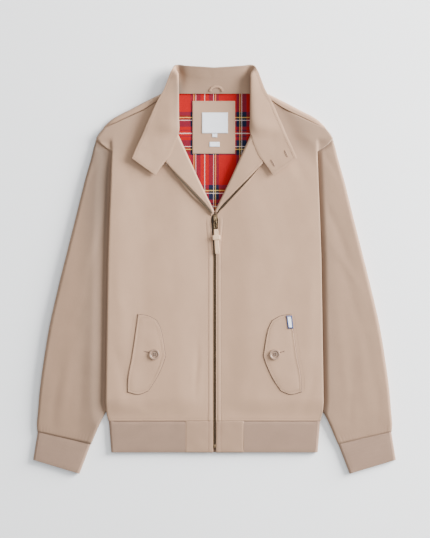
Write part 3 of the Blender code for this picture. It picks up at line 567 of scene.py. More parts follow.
def start_material(name, rough, metal=0.0, sheen=0.0):
    """A material with one Principled shader, its constants set, and its cloth coordinates split in two."""
    made = bpy.data.materials.new(name)
    made.use_nodes = True
    tree = made.node_tree
    shader = tree.nodes["Principled BSDF"]
    shader.inputs["Roughness"].default_value = rough
    shader.inputs["Metallic"].default_value = metal
    if sheen:
        shader.inputs["Sheen Weight"].default_value = sheen
        shader.inputs["Sheen Roughness"].default_value = 0.5
    cloth_map = wire(tree, "UVMap", {"uv_map": "cloth"})
    split = wire(tree, "SeparateXYZ", s0=cloth_map.outputs[0])
    return made, tree, shader, split.outputs[0], split.outputs[1]


def tinted(tree, colour, dark, light, size, seed):
    """The colour, a little darker or lighter in slow patches of about the given size in millimetres."""
    place = wire(tree, "TexCoord").outputs["Object"]
    shift = wire(tree, "Mapping", Vector=place, Location=(seed * 0.37, seed * 0.21, seed * 0.11))
    patch = noise(tree, shift.outputs[0], 1 / (size * MM), 3.0, Roughness=0.55)
    return scaled(tree, colour, ranged(tree, patch, dark, light)), place


def surface(tree, shader, colour, height, depth):
    """Gives the shader its colour and a fine relief of the given depth in millimetres."""
    tree.links.new(colour, shader.inputs["Base Color"])
    bump = wire(tree, "Bump", Height=height, Strength=0.6, Distance=depth * MM)
    tree.links.new(bump.outputs[0], shader.inputs["Normal"])


def twill_finish(name, colour, seed=0.0):
    """Cotton twill: steep diagonal wales, slubs, slow patches of lighter and darker tone, and painted shade,
    darker and cooler, where its points say so.
    """
    made, tree, shader, u, v = start_material(name, 0.82, sheen=0.12)
    shade, place = tinted(tree, colour, 0.965, 1.03, 46, seed)
    wale = wave(tree, u, v, 0.62, 1.15)
    slub = noise(tree, place, 1500.0)
    deep = wire(tree, "Attribute", {"attribute_name": "deep"}).outputs["Fac"]
    wale_shade = sum_of(tree, 0.97, times(tree, wale, 0.025), times(tree, slub, 0.06))
    # Painted shade: by the stored share the colour is multiplied towards a dark, cool tone.
    colour_with_painted_shade = wire(tree, "Mix", {"data_type": "RGBA", "blend_type": "MULTIPLY"}, s0=deep,
                 s6=scaled(tree, shade, wale_shade), s7=(0.0, 0.07, 0.14, 1.0))
    pucker = noise(tree, place, 140.0, 3.0, Roughness=0.5)
    relief = sum_of(tree, times(tree, wale, 0.35), slub, times(tree, pucker, 1.6))
    surface(tree, shader, colour_with_painted_shade.outputs[2], relief, 0.06)
    return made


def rib_finish(name, colour):
    """Rib knit: chains of small loops across each rib, painted shade in the furrows, soft nap."""
    made, tree, shader, u, v = start_material(name, 0.9, sheen=0.15)
    shade, place = tinted(tree, colour, 0.95, 1.04, 30, 2.0)
    loop = wave(tree, u, v, 0, 1.25)
    furrow = wire(tree, "Attribute", {"attribute_name": "furrow"}).outputs["Fac"]
    fuzz = noise(tree, place, 1300.0)
    # Painted shade: the colour is darker where the stored furrow depth is high.
    level = sum_of(tree, 1.02, times(tree, furrow, -0.12), times(tree, loop, 0.02),
                   times(tree, fuzz, 0.08), -0.04)
    surface(tree, shader, scaled(tree, shade, level), sum_of(tree, loop, fuzz), 0.09)
    return made


# Half of each repeat of the tartan: its length, where its middle line stands, and from that line outwards
# where each stripe ends, and its colour.
TARTAN_WARP = (44.3, -18.92, (
    (0.8, "white"), (7.8, "red"), (16.3, "navy"), (17.8, "white"), (20.0, "green"), (21.6, "yellow"),
    (27.2, "navy"), (44.3, "red")))
TARTAN_WEFT = (70.4, 263.4, (
    (0.9, "white"), (5.2, "red"), (6.4, "navy"), (12.9, "red"), (24.3, "navy"), (26.0, "white"),
    (29.7, "green"), (31.6, "yellow"), (34.9, "green"), (41.5, "navy"), (70.4, "red")))
TARTAN_COLOURS = {"red": (0.34, 0.006, 0.006), "navy": (0.009, 0.011, 0.036), "green": (0.004, 0.013, 0.010),
                  "yellow": (0.74, 0.46, 0.11), "white": (0.76, 0.60, 0.54)}


def stripes(tree, place, chart):
    """Colour of one set of threads: a place folded back and forth over half a repeat, read from its chart."""
    half, middle, bands = chart
    moved = wire(tree, "Math", {"operation": "MULTIPLY_ADD"}, s0=place, s1=1 / (half * MM), s2=-middle / half)
    folded = wire(tree, "Math", {"operation": "PINGPONG"}, s0=moved.outputs[0], s1=1.0)
    ramp = wire(tree, "ValToRGB", s0=folded.outputs[0])
    ramp.color_ramp.interpolation = "CONSTANT"
    stops = ramp.color_ramp.elements
    stops.remove(stops[1])
    starts = [0.0] + [end / half for end, _ in bands[:-1]]
    for start, (_, colour) in zip(starts, bands):
        stop = stops.new(start) if start else stops[0]
        stop.position, stop.color = start, (*TARTAN_COLOURS[colour], 1)
    return ramp.outputs[0]


def tartan_finish(name):
    """Traditional tartan: warp and weft stripes from the two charts, shown by turns in a fine twill."""
    made, tree, shader, _, _ = start_material(name, 0.85)
    shader.inputs["Specular IOR Level"].default_value = 0.15
    place = wire(tree, "TexCoord").outputs["Object"]
    split = wire(tree, "SeparateXYZ", s0=place)
    x, y = split.outputs[0], split.outputs[1]
    twill = wave(tree, x, y, 0.9, 0.9)
    share = sum_of(tree, 0.5, times(tree, twill, 0.3))
    mixed = wire(tree, "Mix", {"data_type": "RGBA"}, Factor=share, s6=stripes(tree, x, TARTAN_WARP),
                 s7=stripes(tree, y, TARTAN_WEFT))
    fuzz = noise(tree, place, 900.0)
    level = ranged(tree, fuzz, 0.93, 1.07)
    surface(tree, shader, scaled(tree, mixed.outputs[2], level), sum_of(tree, twill, fuzz), 0.05)
    return made


def metal_finish(name, colour, rough=0.42):
    """Antique brass: darker and lighter in small patches, with fine scratches and a patchy dull shine."""
    made, tree, shader, _, _ = start_material(name, rough, metal=1.0)
    shade, place = tinted(tree, colour, 0.7, 1.3, 2.5, 5.0)
    scratch = noise(tree, place, 2600.0)
    dull = ranged(tree, scratch, rough - 0.1, rough + 0.12)
    tree.links.new(dull, shader.inputs["Roughness"])
    surface(tree, shader, shade, scratch, 0.02)
    return made


def tape_finish(name, colour):
    """Woven zip tape: close cross threads with a slight herringbone."""
    made, tree, shader, _, _ = start_material(name, 0.85)
    shade, place = tinted(tree, colour, 0.9, 1.1, 12, 7.0)
    split = wire(tree, "SeparateXYZ", s0=place)
    weft = wave(tree, split.outputs[0], split.outputs[1], 1.4, 0.8)
    level = sum_of(tree, 1.0, times(tree, weft, 0.12))
    surface(tree, shader, scaled(tree, shade, level), weft, 0.08)
    return made


def button_finish(name, colour):
    """Pressed resin: faint clouds of colour under a soft polish."""
    made, tree, shader, _, _ = start_material(name, 0.36)
    shade, place = tinted(tree, colour, 0.82, 1.12, 5, 9.0)
    shader.inputs["Coat Weight"].default_value = 0.2
    shader.inputs["Coat Roughness"].default_value = 0.3
    surface(tree, shader, shade, noise(tree, place, 700.0), 0.02)
    return made


def label_finish(name, field, border, half_width, half_height, edge):
    """Woven label: fine ribs across it, and a border of the given width in its own colour."""
    made, tree, shader, u, v = start_material(name, 0.75)
    outside = []
    for axis, half in ((u, half_width), (v, half_height)):
        size = wire(tree, "Math", {"operation": "ABSOLUTE"}, s0=axis)
        outside.append(wire(tree, "Math", {"operation": "GREATER_THAN"}, s0=size.outputs[0],
                            s1=(half - edge) * MM).outputs[0])
    framed = wire(tree, "Math", {"operation": "MAXIMUM"}, s0=outside[0], s1=outside[1])
    mixed = wire(tree, "Mix", {"data_type": "RGBA"}, Factor=framed.outputs[0], s6=(*field, 1),
                 s7=(*border, 1))
    weft = wave(tree, u, v, 0.5, 0.35)
    level = sum_of(tree, 1.0, times(tree, weft, 0.05))
    surface(tree, shader, scaled(tree, mixed.outputs[2], level), weft, 0.04)
    return made


def thread_finish(name, colour):
    """Sewing thread: two plies twisted together, slightly glossy."""
    made, tree, shader, _, _ = start_material(name, 0.6, sheen=0.1)
    shade, place = tinted(tree, colour, 0.9, 1.1, 8, 11.0)
    surface(tree, shader, shade, noise(tree, place, 3000.0, 1.0), 0.04)
    return made


# ---- fronts ----
SEWN_ROWS = (2.3, 9.7)        # rows of sewing beside the front edge, in from it
ON_CLOTH = CLOTH / 2 + 0.02   # how far stitches lie above the cloth's mid surface


def front_levels():
    """Row levels of a front: from the hem to the zip's end, up the lapel's roll, and on to the shoulder."""
    open_zip = (V_POINT_Y - HEM_TOP_Y) / (seam_line(4.4) - HEM_TOP_Y)
    gorge = (GORGE_Y - HEM_TOP_Y) / (seam_line(72.8) - HEM_TOP_Y)
    low = np.r_[fine([0, 0.012, 0.06], 0.002), np.linspace(0.06, open_zip, 118)[1:]]
    first = len(low) - 1
    rolled = np.linspace(open_zip, gorge, 64)[1:]
    return np.r_[low, rolled, np.linspace(gorge, 1, 34)[1:]], first, first + len(rolled)


def front_relief(x, y, half):
    """What the cloth adds to the front's height: creases, slow drift, the placket's sewn rows and seams."""
    relief = creases(x, y, FRONT_CREASES) + 0.28 * drift(x, y, 1.0, 150) + 0.09 * drift(x, y, 2.0, 42)
    relief = relief * ease((half - 10) / 26) * (0.35 + 0.65 * ease((205 - half) / 20))
    below = ease((V_POINT_Y - 4 - y) / 12)
    in_from_edge = half - front_edge_line(y)
    for row in SEWN_ROWS:
        relief = relief - 0.3 * below * hump((in_from_edge - row) / 1.1)
    relief = relief + 0.35 * below * hump((in_from_edge - 5.9) / 3.4)
    relief = relief - 0.1 * hump((y - HEM_TOP_Y) / 2.2)
    full = np.where(x < 0, 3.2, 1.0) * ease((half - 128) / 62) * ease((236 - y) / 60)
    relief = relief + full * (1 - ease((-245 - y) / 44))
    pucker = 0.10 * np.sin(x * 2 * math.pi / 7.5 + 2.2 * np.sin(x / 23)) * hump((y - HEM_TOP_Y - 6) / 7)
    return relief + pucker


def front_body(side):
    """Grid of a front from its side fold to its edge, and the rows that the lapel turns back from.

    Each row runs from the side's quarter-round fold, over the crown of the chest, to the front edge.
    """
    levels, first, last = front_levels()
    sides = columns(SIDE)
    outer = row_end(levels, seam_line, side_line)[:, None]
    inner = row_end(levels, seam_line, front_edge_line)[:, None]
    lift = levels[:, None]
    outer_y = HEM_TOP_Y + lift * (seam_line(outer) - HEM_TOP_Y)
    curl = np.interp(outer_y, sides["y"], sides["curl"]) * (0.4 if side > 0 else 1.0)
    edge_z = np.interp(outer_y, sides["y"], sides["edge_z"])
    bend = 1 - np.cos(np.linspace(0, np.pi / 2, 9))
    near = fine([0, 6, 14], 0.8)[::-1]
    span = outer - inner
    middle = np.linspace(0, 1, 58)[1:-1]
    inset = np.concatenate([bend * curl, curl + (span - 14 - curl) * middle, span - near], axis=1)
    half = outer - inset
    y = HEM_TOP_Y + lift * (seam_line(half) - HEM_TOP_Y)
    rise = np.sqrt(1 - (1 - np.clip(inset / curl, 0, 1)) ** 2)
    dip = ease((half - 196.5) / 3.5) * (1 - 0.6 * ease((half - 202) / 18))
    over = front_height(half, y) - 2.9 * dip * ease((256 - y) / 14) * ease((y - 205) / 12)
    over = over + front_relief(half * side, y, half)
    grid = np.stack([half, y, edge_z + (over - edge_z) * rise], axis=-1)
    return grid, grid[first:last + 1, -1]


def lapel_rows(roll):
    """For each point on the roll: how far up the lapel it is, and what the lapel table says there."""
    share = (roll[:, 1] - roll[0, 1]) / (roll[-1, 1] - roll[0, 1])
    lapel = columns(LAPEL)
    return share, {name: np.interp(share, lapel["along"], lapel[name]) for name in lapel}


def lapel_surface(roll, sizes, edge, out, tuck, seed):
    """The turned-back sheet: under the front, half a turn round the roll, and over to its edge.

    out is how far the sheet lies outside the front's own mid surface; the free part sinks into soft waves.
    """
    away = np.array(ROLL_OUT)
    radius = sizes["roll_r"] + out
    grid = []
    for step in np.linspace(1, 0, 4)[:-1] if tuck else ():
        under = roll.copy()
        under[:, :2] += away * tuck * step
        under[:, 2] = roll[:, 2] - out
        grid.append(under)
    for angle in np.linspace(0, np.pi, 15):
        ring = roll.copy()
        ring[:, :2] -= away * (radius * math.sin(angle))[:, None]
        ring[:, 2] = roll[:, 2] + sizes["roll_r"] - radius * math.cos(angle)
        grid.append(ring)
    for share in np.linspace(0, 1, 22)[1:]:
        flat = roll[:, :2] + (edge - roll[:, :2]) * share
        over = front_height(flat[:, 0], flat[:, 1]) - front_height(roll[:, 0], roll[:, 1])
        wave_up = 0.3 * share * drift(flat[:, 0], flat[:, 1], seed, 60)
        height = roll[:, 2] + 2 * sizes["roll_r"] + out + over + wave_up
        grid.append(np.column_stack([flat, height]))
    return np.array(grid)


def front_painted_shade(x, y):
    """Painted shade on the fronts: on both shoulders, outside the collar, and in the left side fold."""
    fold = ease((x - side_line(y) + 3) / 2) * ease((205 - y) / 10)
    from_collar = -x - 111 - 0.44 * (322 - y)
    right = 0.2 * ease((y - 190) / 60) * ease((from_collar - 12) / 16)
    return np.where(x < 0, right, 0.26 * ease((y - 190) / 60) + 0.22 * fold)


def make_fronts(finish, thread):
    """Both fronts, each one sheet from its side fold to the lapel's free edge, with the placket's sewing."""
    for side, wearer in SIDES:
        body, roll = front_body(side)
        _, sizes = lapel_rows(roll)
        edge = np.column_stack([sizes["edge_half"], sizes["edge_y"]])
        lapel = lapel_surface(roll, sizes, edge, 0.0, 0.0, 4.0)
        made = cloth(f"cloth_front_{wearer}", [turned(body, side), turned(lapel, side)], CLOTH, finish)
        # Painted shade on the fronts, by the rule above.
        set_painted_shade(made, front_painted_shade)
        y = np.linspace(HEM_TOP_Y + 2, V_POINT_Y - 16, 200)
        x = np.linspace(14, 201, 120)
        plans = [np.column_stack([front_edge_line(y) + row, y]) for row in SEWN_ROWS]
        plans.append(np.column_stack([x, np.full(120, HEM_TOP_Y + 5.0)]))
        rows = [over_front(plan, side, ON_CLOTH) for plan in plans]
        sew = stitching(f"sewing_front_{wearer}", [turned(row, side) for row in rows], thread)
        dress(made, node=f"front_{wearer}")
        dress(sew)


def facing_grid(side):
    """The facing: tucked under the front, round the roll, and over to its own sewn edge on the lapel."""
    _, roll = front_body(side)
    _, sizes = lapel_rows(roll)
    edge = np.column_stack([sizes["facing_half"], sizes["facing_y"]])
    out = (CLOTH + FACING) / 2 + GAP
    grid = lapel_surface(roll, sizes, edge, out, 13.0, 4.0)[:, 1:]
    grid[-1, :, 2] -= 0.25
    share = np.linspace(0, 1, len(grid))[:, None]
    away = (1 - share) * np.array([-0.05, 1.0]) + share * np.array([0.92, 0.39])
    under = [grid[:, -1] + np.column_stack([away * step, np.full(len(grid), -0.3 * step)])
             for step in (2, 5, 8)]
    return np.concatenate([grid, np.stack(under, axis=1)], axis=1)


def make_facings(finish, thread):
    """Both facings, each sewn along its own edge on the lapel."""
    for side, wearer in SIDES:
        grid = facing_grid(side)
        made = cloth(f"cloth_facing_{wearer}", [turned(grid, side)], FACING, finish, even=False)
        row = edge_row(grid[:, :-3], 4.5, FACING / 2)
        sew = stitching(f"sewing_facing_{wearer}", [turned(row, side)], thread)
        dress(made, node=f"facing_{wearer}")
        dress(sew)


def edge_row(grid, inset, lift):
    """A line on a grid's surface at a distance in from its last row, raised by lift."""
    lengths = np.cumsum(np.linalg.norm(np.diff(grid[::-1], axis=0), axis=2), axis=0)
    lengths = np.vstack([np.zeros(lengths.shape[1]), lengths])
    k = np.clip((lengths < inset).sum(0) - 1, 0, len(grid) - 2)
    j = np.arange(grid.shape[1])
    t = ((inset - lengths[k, j]) / (lengths[k + 1, j] - lengths[k, j]))[:, None]
    back = grid[::-1]
    line = back[k, j] * (1 - t) + back[k + 1, j] * t
    line[:, 2] += lift
    return line


# ---- back and lining ----
SLOPE = 37                    # width of the slope from the floor up onto the sleeve below


def back_grids():
    """The back on the floor, lifted over the sleeves, and carried over both shoulder folds."""
    fold = columns(SHOULDER_FOLD)
    keys = np.column_stack([fold[name] for name in SHOULDER_FOLD[0]])
    keys = smooth_rows(keys, fold["seam_half"], fine(fold["seam_half"], 3.0))
    seam, crest, top_z = keys[:, :2], keys[:, 2:4], keys[:, 4]
    inwards = (seam - crest) / np.linalg.norm(seam - crest, axis=1)[:, None]
    radius = (top_z - BACK_MID) / 2
    base = crest + inwards * radius[:, None]
    neck = fine([0, 28, 55, NECK_HALF], 4.0)[:-1]
    top_half = np.r_[neck, NECK_HALF, base[:, 0], 214.8, 216.6]
    top_y = np.r_[[NECK_Y + 5] * (len(neck) + 1), base[:, 1], 271.0, 269.2]

    def top_line(half):
        """Where the back turns up at the neck and the shoulder, along Y."""
        return np.interp(half, top_half, top_y)

    under = np.array(UNDER_BODY)
    y_mid = fine([-290.0, -262.0, 180.0, 284.0, 317.0], 5.2)
    levels = np.r_[(y_mid - HEM_TOP_Y) / (top_line(MID_HALF) - HEM_TOP_Y), 1.0]
    levels = levels[levels <= 1.0]
    y_mid = HEM_TOP_Y + levels * (top_line(MID_HALF) - HEM_TOP_Y)
    end = row_end(levels, top_line, side_line) - 0.6
    sleeve = np.interp(y_mid, under[[4, 3, 2], 1], under[[4, 3, 2], 0])
    foot = np.minimum(sleeve - SLOPE, end - 60)
    foot = foot[:, None]
    third = len(top_half) // 3
    last = len(top_half) - 2 * third
    shaped = np.concatenate([foot * np.linspace(0, 1, third + 1)[:-1],
                             foot + SLOPE * np.linspace(0, 1, third + 1)[:-1],
                             foot + SLOPE + (end[:, None] - foot - SLOPE) * np.linspace(0, 1, last)], axis=1)
    blend = ease((y_mid - 170) / 110)[:, None]
    half = shaped * (1 - blend) + top_half / top_half[-1] * end[:, None] * blend
    y = HEM_TOP_Y + 0.6 + levels[:, None] * (top_line(half) - HEM_TOP_Y - 0.6)
    floor = np.stack([half, y, BACK_MID + back_lift(half, y)], axis=-1)
    on_row = slice(len(neck) + 1, len(neck) + 1 + len(base))
    floor[-1, on_row] = np.column_stack([base, np.full(len(base), BACK_MID)])
    grids = []
    for side in (1, -1):
        sheet = turned(floor, side)
        lifted = creases(sheet[..., 0], sheet[..., 1], BACK_CREASES)
        free = ease((250 - y) / 60) * ease((y - HEM_TOP_Y - 6) / 20) * ease((end[:, None] - half) / 14)
        covered = back_lift(half, y) / LIFT
        sheet[..., 2] += free * np.where(covered > 0.5, 0.5 * lifted, np.maximum(lifted, 0) * (1 - covered))
        grids.append(sheet)
        angles = np.linspace(-np.pi / 2, np.pi / 2, 15)
        wrap = [np.column_stack([crest + inwards * (radius * (1 - math.cos(a)))[:, None],
                                 BACK_MID + radius * (1 + math.sin(a))]) for a in angles]
        last = wrap[-1]
        for share in np.linspace(0, 1, 5)[1:]:
            wrap.append(last + (np.column_stack([seam, top_z]) - last) * share)
        grids.append(turned(np.array(wrap), side))
    return grids


def make_back(finish):
    """The back as one sheet of cloth."""
    made = cloth("cloth_back", back_grids(), CLOTH, finish)
    dress(made, node="back")


def make_lining(finish):
    """The lining where the open neck shows it: a flat sheet, barely uneven, that narrows below the collar."""
    y = np.linspace(92, NECK_Y + 3, 90)
    half = np.interp(y, (92, 258, NECK_Y + 3), (24, 88, 78))
    x = np.linspace(-1, 1, 60)[:, None] * half
    down = y + np.zeros_like(x)
    uneven = 0.18 * drift(x, down, 6.0, 48) * ease((y - 92) / 10) * ease((NECK_Y - 1 - y) / 10)
    grid = np.stack([x, down, CLOTH + GAP + LINING / 2 + 0.1 + np.maximum(uneven, -0.25)], axis=-1)
    made = cloth("cloth_lining", [grid], LINING - 0.2, finish)
    dress(made, node="lining")


# ---- sleeves and ribs ----
def sleeve_rings(side):
    """Rings of the flattened sleeve: round at both edges, high outside the body and low under it."""
    table = columns(SLEEVE)
    keys = np.column_stack([table[name] for name in SLEEVE[0]])
    steps = run_along((keys[:, :2] + keys[:, 2:4]) / 2)
    where = fine(steps, 4.0)
    keys = smooth_rows(keys, steps, where)
    keys[:, 5] = np.maximum(keys[:, 5], SLEEVE_LOW)
    outer, inner, crown, inner_z = keys[:, None, :2], keys[:, None, 2:4], keys[:, 4:5], keys[:, 5:6]
    across = ((1 - np.cos(np.linspace(0, np.pi, 73))) / 2)[None]
    width = np.linalg.norm(outer - inner, axis=2)
    line = outer + (inner - outer) * across[..., None]
    x, y = line[..., 0], line[..., 1]
    from_seam = x - side_line(y)
    shown = ease((inner_z - 5.6) / 2.9)
    low_at = (side_line(y) + (-2.5 if side > 0 else 1.0)) * (1 - shown) + MID_HALF * shown
    high = ease((x - low_at) / (14.0 if side > 0 else 30.0))
    beside = np.maximum(inner_z, 6.5 * ease((from_seam + 12) / 9))
    height = beside + (crown - beside) * high
    capped = np.minimum(7.1 + 1.2 * ease((y - 231) / 14) + 0.12 * np.maximum(from_seam, 0), crown)
    at_cap = ease((y - 213) / 16) * ease((from_seam + 14) / 10)
    height = height + (np.maximum(height, capped) - height) * at_cap
    reach = np.minimum(across, 1 - across) * width / (height / 2)
    round_edge = np.sqrt(1 - (1 - np.clip(reach, 0, 1)) ** 2)
    free = ease((x - side_line(y) - 3) / 16) * ease((reach - 0.4) / 2.5)
    last = where[-1] - where[:, None]
    relief = creases(x * side, y, SLEEVE_CREASES) + 0.3 * drift(x * side, y, 3.0, 110)
    relief = relief + 0.1 * drift(x * side, y, 5.0, 36)
    relief = relief * free - 0.1 * hump(last / 2.4) + 0.16 * np.sin(across * 110) * hump((last - 7) / 7)
    upper = np.stack([x, y, height / 2 * (1 + round_edge) + relief], axis=-1)
    lower = np.stack([x, y, height / 2 * (1 - round_edge)], axis=-1)
    return np.concatenate([upper, lower[:, -2:0:-1]], axis=1)


def sleeve_painted_shade(x, y):
    """Painted shade on the sleeves beside the body, wide on the right sleeve and narrow on the left one."""
    away = np.abs(x) - side_line(y)
    upper = ease((y - 10) / 130)
    wide = (0.28 + 0.16 * upper) * ease((away + 2) / 14) * (1 - ease((away - 16) / 58))
    return np.where(x < 0, wide, 0.3 * (1 - ease(away / 9)) + 0.08 * (1 - ease(away / 36)))


def make_sleeves(finish):
    """Both sleeves as tubes whose wall grows inwards."""
    for side, wearer in SIDES:
        mesh = mesh_of(f"cloth_sleeve_{wearer}", [turned(sleeve_rings(side), side)], close=True)
        made = piece(f"cloth_sleeve_{wearer}", mesh, finish)
        wall = made.modifiers.new("wall", "SOLIDIFY")
        wall.thickness = SLEEVE_WALL * MM
        wall.offset = -1
        wall.use_rim = True
        # Painted shade on the sleeves beside the body.
        set_painted_shade(made, sleeve_painted_shade)
        dress(made, node=f"sleeve_{wearer}")


def rib_line(start, end, pitch, rise, top):
    """Upper outline of a ribbed stretch, and its depth: the cube of a cosine that has lost its sign."""
    count = int(round((end - start) / pitch))
    s = np.linspace(start, end, count * 6 + 1)
    phase = (s - start) / (end - start) * count
    depth = np.abs(np.cos(np.pi * phase)) ** 3
    return s, top + rise * (1 - depth), depth


def knit_tube(name, outer, inner, depth, finish, closed):
    """A knit wall between its ribbed outside and its inside, closed at its cut ends."""
    grids = [outer, inner[::-1], np.stack([outer[-1], inner[-1]]), np.stack([inner[0], outer[0]])]
    depths = [depth[None]] * 4
    if not closed:
        grids += [np.stack([outer[:, 0], inner[:, 0]]), np.stack([inner[:, -1], outer[:, -1]])]
        depths += [depth[:1], depth[-1:]]
    mesh = mesh_of(name, grids, close=closed, weld=0.0)
    furrows = [np.broadcast_to(rows, grid.shape[:2]).ravel() for rows, grid in zip(depths, grids)]
    store(mesh, "furrow", np.concatenate(furrows))
    mend(mesh, "weld", dist=1e-5)
    return piece(name, mesh, finish)


RIB_FINE = 2.0
RIB_FINE_RISE = 0.32
CUFF_WIDE = 100.0


def make_cuffs(finish):
    """Flattened rib-knit tubes: fine ribs on both faces, full in the middle, drawn in at both ends."""
    cuff = columns(CUFF)
    for side, wearer in SIDES:
        outer_rings, inner_rings = [], []
        for share in np.linspace(0, 1, 18):
            a, b = [np.array([np.interp(share, (0, 1), cuff[f"{edge}_{axis}"]) for axis in ("half", "y")])
                    for edge in ("outer", "inner")]
            width = np.linalg.norm(b - a)
            full = 0.35 * math.sin(math.pi * share) - 0.12 * math.exp(-(share / 0.05) ** 2)
            full -= 0.5 * math.exp(-((1 - share) / 0.04) ** 2)
            middle, turn = KNIT_TOP / 2, np.linspace(-np.pi / 2, np.pi / 2, 9)[:-1]
            for rings, inset in ((outer_rings, 0.0), (inner_rings, KNIT)):
                r, rise = middle - inset, 0.0 if inset else RIB_FINE_RISE
                s, z, depth = rib_line(middle, CUFF_WIDE - middle, RIB_FINE, rise, middle + r)
                s = middle + (s - middle) * (width - KNIT_TOP) / (CUFF_WIDE - KNIT_TOP)
                below = np.maximum(middle - r + (0.0 if inset else 0.25) * depth, 0.0)
                top = z + (0 if inset else full) * ease((s - 4) / 8) * ease((width - 4 - s) / 8)
                ring_s = np.r_[middle - r * np.cos(turn), s[:-1], width - middle + r * np.cos(turn),
                               s[::-1][:-1]]
                ring_z = np.r_[middle + r * np.sin(turn), top[:-1], middle - r * np.sin(turn),
                               below[::-1][:-1]]
                rings.append(np.column_stack([a + (b - a) * (ring_s / width)[:, None], ring_z]))
            flat = np.zeros(len(turn))
            depths = np.r_[flat, depth[:-1], flat, depth[::-1][:-1]]
        made = knit_tube(f"knit_cuff_{wearer}", turned(np.array(outer_rings), side),
                         turned(np.array(inner_rings), side), depths, finish, True)
        dress(made, node=f"cuff_{wearer}")


def make_hem_rib(finish):
    """One fine-ribbed band from tab to tab round the back, flattened: a C seen from its edge."""
    start, fold, y_top = 56.0, 199.5, HEM_TOP_Y + 0.4
    outer_rows, inner_rows = [], []
    for share in np.linspace(0, 1, 15):
        y = y_top + (HEM_LOW_Y - y_top) * share
        taper = 4.6 * share
        full = 0.3 * math.sin(math.pi * share) - 1.4 * math.exp(-(share / 0.022) ** 2)
        full -= 0.6 * math.exp(-((1 - share) / 0.04) ** 2)
        for rows, inset in ((outer_rows, 0.0), (inner_rows, KNIT)):
            r = KNIT_TOP / 2 - inset
            turn = np.linspace(np.pi / 2, -np.pi / 2, 11)
            rise = 0.0 if inset else RIB_FINE_RISE
            s, z, depth = rib_line(start, fold, RIB_FINE, rise, KNIT_TOP / 2 + r)
            under_s, _, under_depth = rib_line(0, fold, RIB_FINE, 0.0, 0.0)
            top = z + (0 if inset else full) * ease((fold - s) / 8)
            half = np.r_[s[:-1], fold + r * np.cos(turn), under_s[::-1][1:]]
            below = KNIT_TOP / 2 - r + (0.0 if inset else 0.25) * under_depth[::-1]
            height = np.r_[top[:-1], KNIT_TOP / 2 + r * np.sin(turn), below[1:]]
            half = half - taper * ease((half - 70) / 130)
            left = np.column_stack([half, np.full(len(half), y), height])
            rows.append(np.vstack([left, turned(left, -1)[-2::-1]]))
        depths = np.r_[depth[:-1], np.zeros(len(turn)), under_depth[::-1][1:]]
        depths = np.r_[depths, depths[-2::-1]]
    made = knit_tube("knit_hem_rib", np.array(outer_rows), np.array(inner_rows), depths, finish, False)
    dress(made, node="hem_rib")


TAB_Z = 7.7                   # mid height of the waistband's plain ends
TAB_END = 56.2
TAB_ROWS = (5.0, 12.4)        # rows of sewing on them, from the centre line


def make_hem_tabs(finish, thread):
    """Plain doubled ends of the waistband, full in the middle and sewn down round their edges."""
    x = fine([ZIP_HALF, 14, 44, TAB_END], 1.2)
    y = fine([HEM_TOP_Y - 0.1, HEM_TOP_Y - 8, HEM_LOW_Y + 8, HEM_LOW_Y], 1.4)
    x, y = np.meshgrid(x, y)
    for side, wearer in SIDES:
        swell = 0.2 * drift(x * side, y, 8.0, 34)
        for row in TAB_ROWS:
            swell = swell - 0.28 * hump((x - row) / 1.1)
        edge = np.minimum(np.minimum(x - ZIP_HALF, TAB_END - x),
                          np.minimum(HEM_TOP_Y - 0.1 - y, y - HEM_LOW_Y))
        swell = swell - 0.5 * hump(edge / 1.6)
        grid = np.stack([x, y, TAB_Z + swell], axis=-1)
        made = cloth(f"cloth_hem_tab_{wearer}", [turned(grid, side)], KNIT, finish)
        top = TAB_Z + KNIT / 2
        rows = [sew_line(x0, HEM_TOP_Y - 3, x0, HEM_LOW_Y + 3, top - 0.2) for x0 in TAB_ROWS]
        rows.append(sew_line(14, HEM_LOW_Y + 3.2, 52, HEM_LOW_Y + 3.2, top - 0.05))
        sew = stitching(f"sewing_hem_tab_{wearer}", [turned(row, side) for row in rows], thread)
        dress(made, node=f"hem_tab_{wearer}")
        dress(sew)


def sew_line(x0, y0, x1, y1, z):
    """A straight line for stitches, at one height."""
    return np.array([[x0, y0, z], [x1, y1, z]], float)


# ---- pockets ----
def coons(low, top, left, right):
    """Patch between four curves that meet at its corners: two ruled sheets less the corners' own sheet."""
    u = np.linspace(0, 1, len(low))[None, :, None]
    v = np.linspace(0, 1, len(left))[:, None, None]
    return ((1 - v) * low[None] + v * top[None] + (1 - u) * left[:, None] + u * right[:, None]
            - (1 - u) * (1 - v) * low[0] - u * (1 - v) * low[-1] - (1 - u) * v * top[0] - u * v * top[-1])


def flap_outline(inset=0.0):
    """The flap's four edges: low, top, straight and curved, drawn in from the edge by inset."""
    edges = [along(points, count) for points, count in (
        (FLAP_LOW, 34), (FLAP_TOP, 34), (FLAP_STRAIGHT[::-1], 90), (FLAP_CURVED[::-1], 90))]
    middle = np.array([134.0, -163.0])
    size = np.array([36.0, 76.0])
    return [edge + (middle - edge) / size * inset for edge in edges]


def over_front(plan, side, lift):
    """Puts a plan outline or patch on the front's own uneven surface, raised by lift."""
    x, y = plan[..., 0], plan[..., 1]
    height = front_height(x, y) + front_relief(x * side, y, x) + lift
    return np.concatenate([plan, height[..., None]], axis=-1)


FLAP_LOW_Z = CLOTH / 2 + 0.2  # a flap's underside above the front's mid surface
FLAP_HOLE = ((121.5, -160.4), (135.2, -155.6))


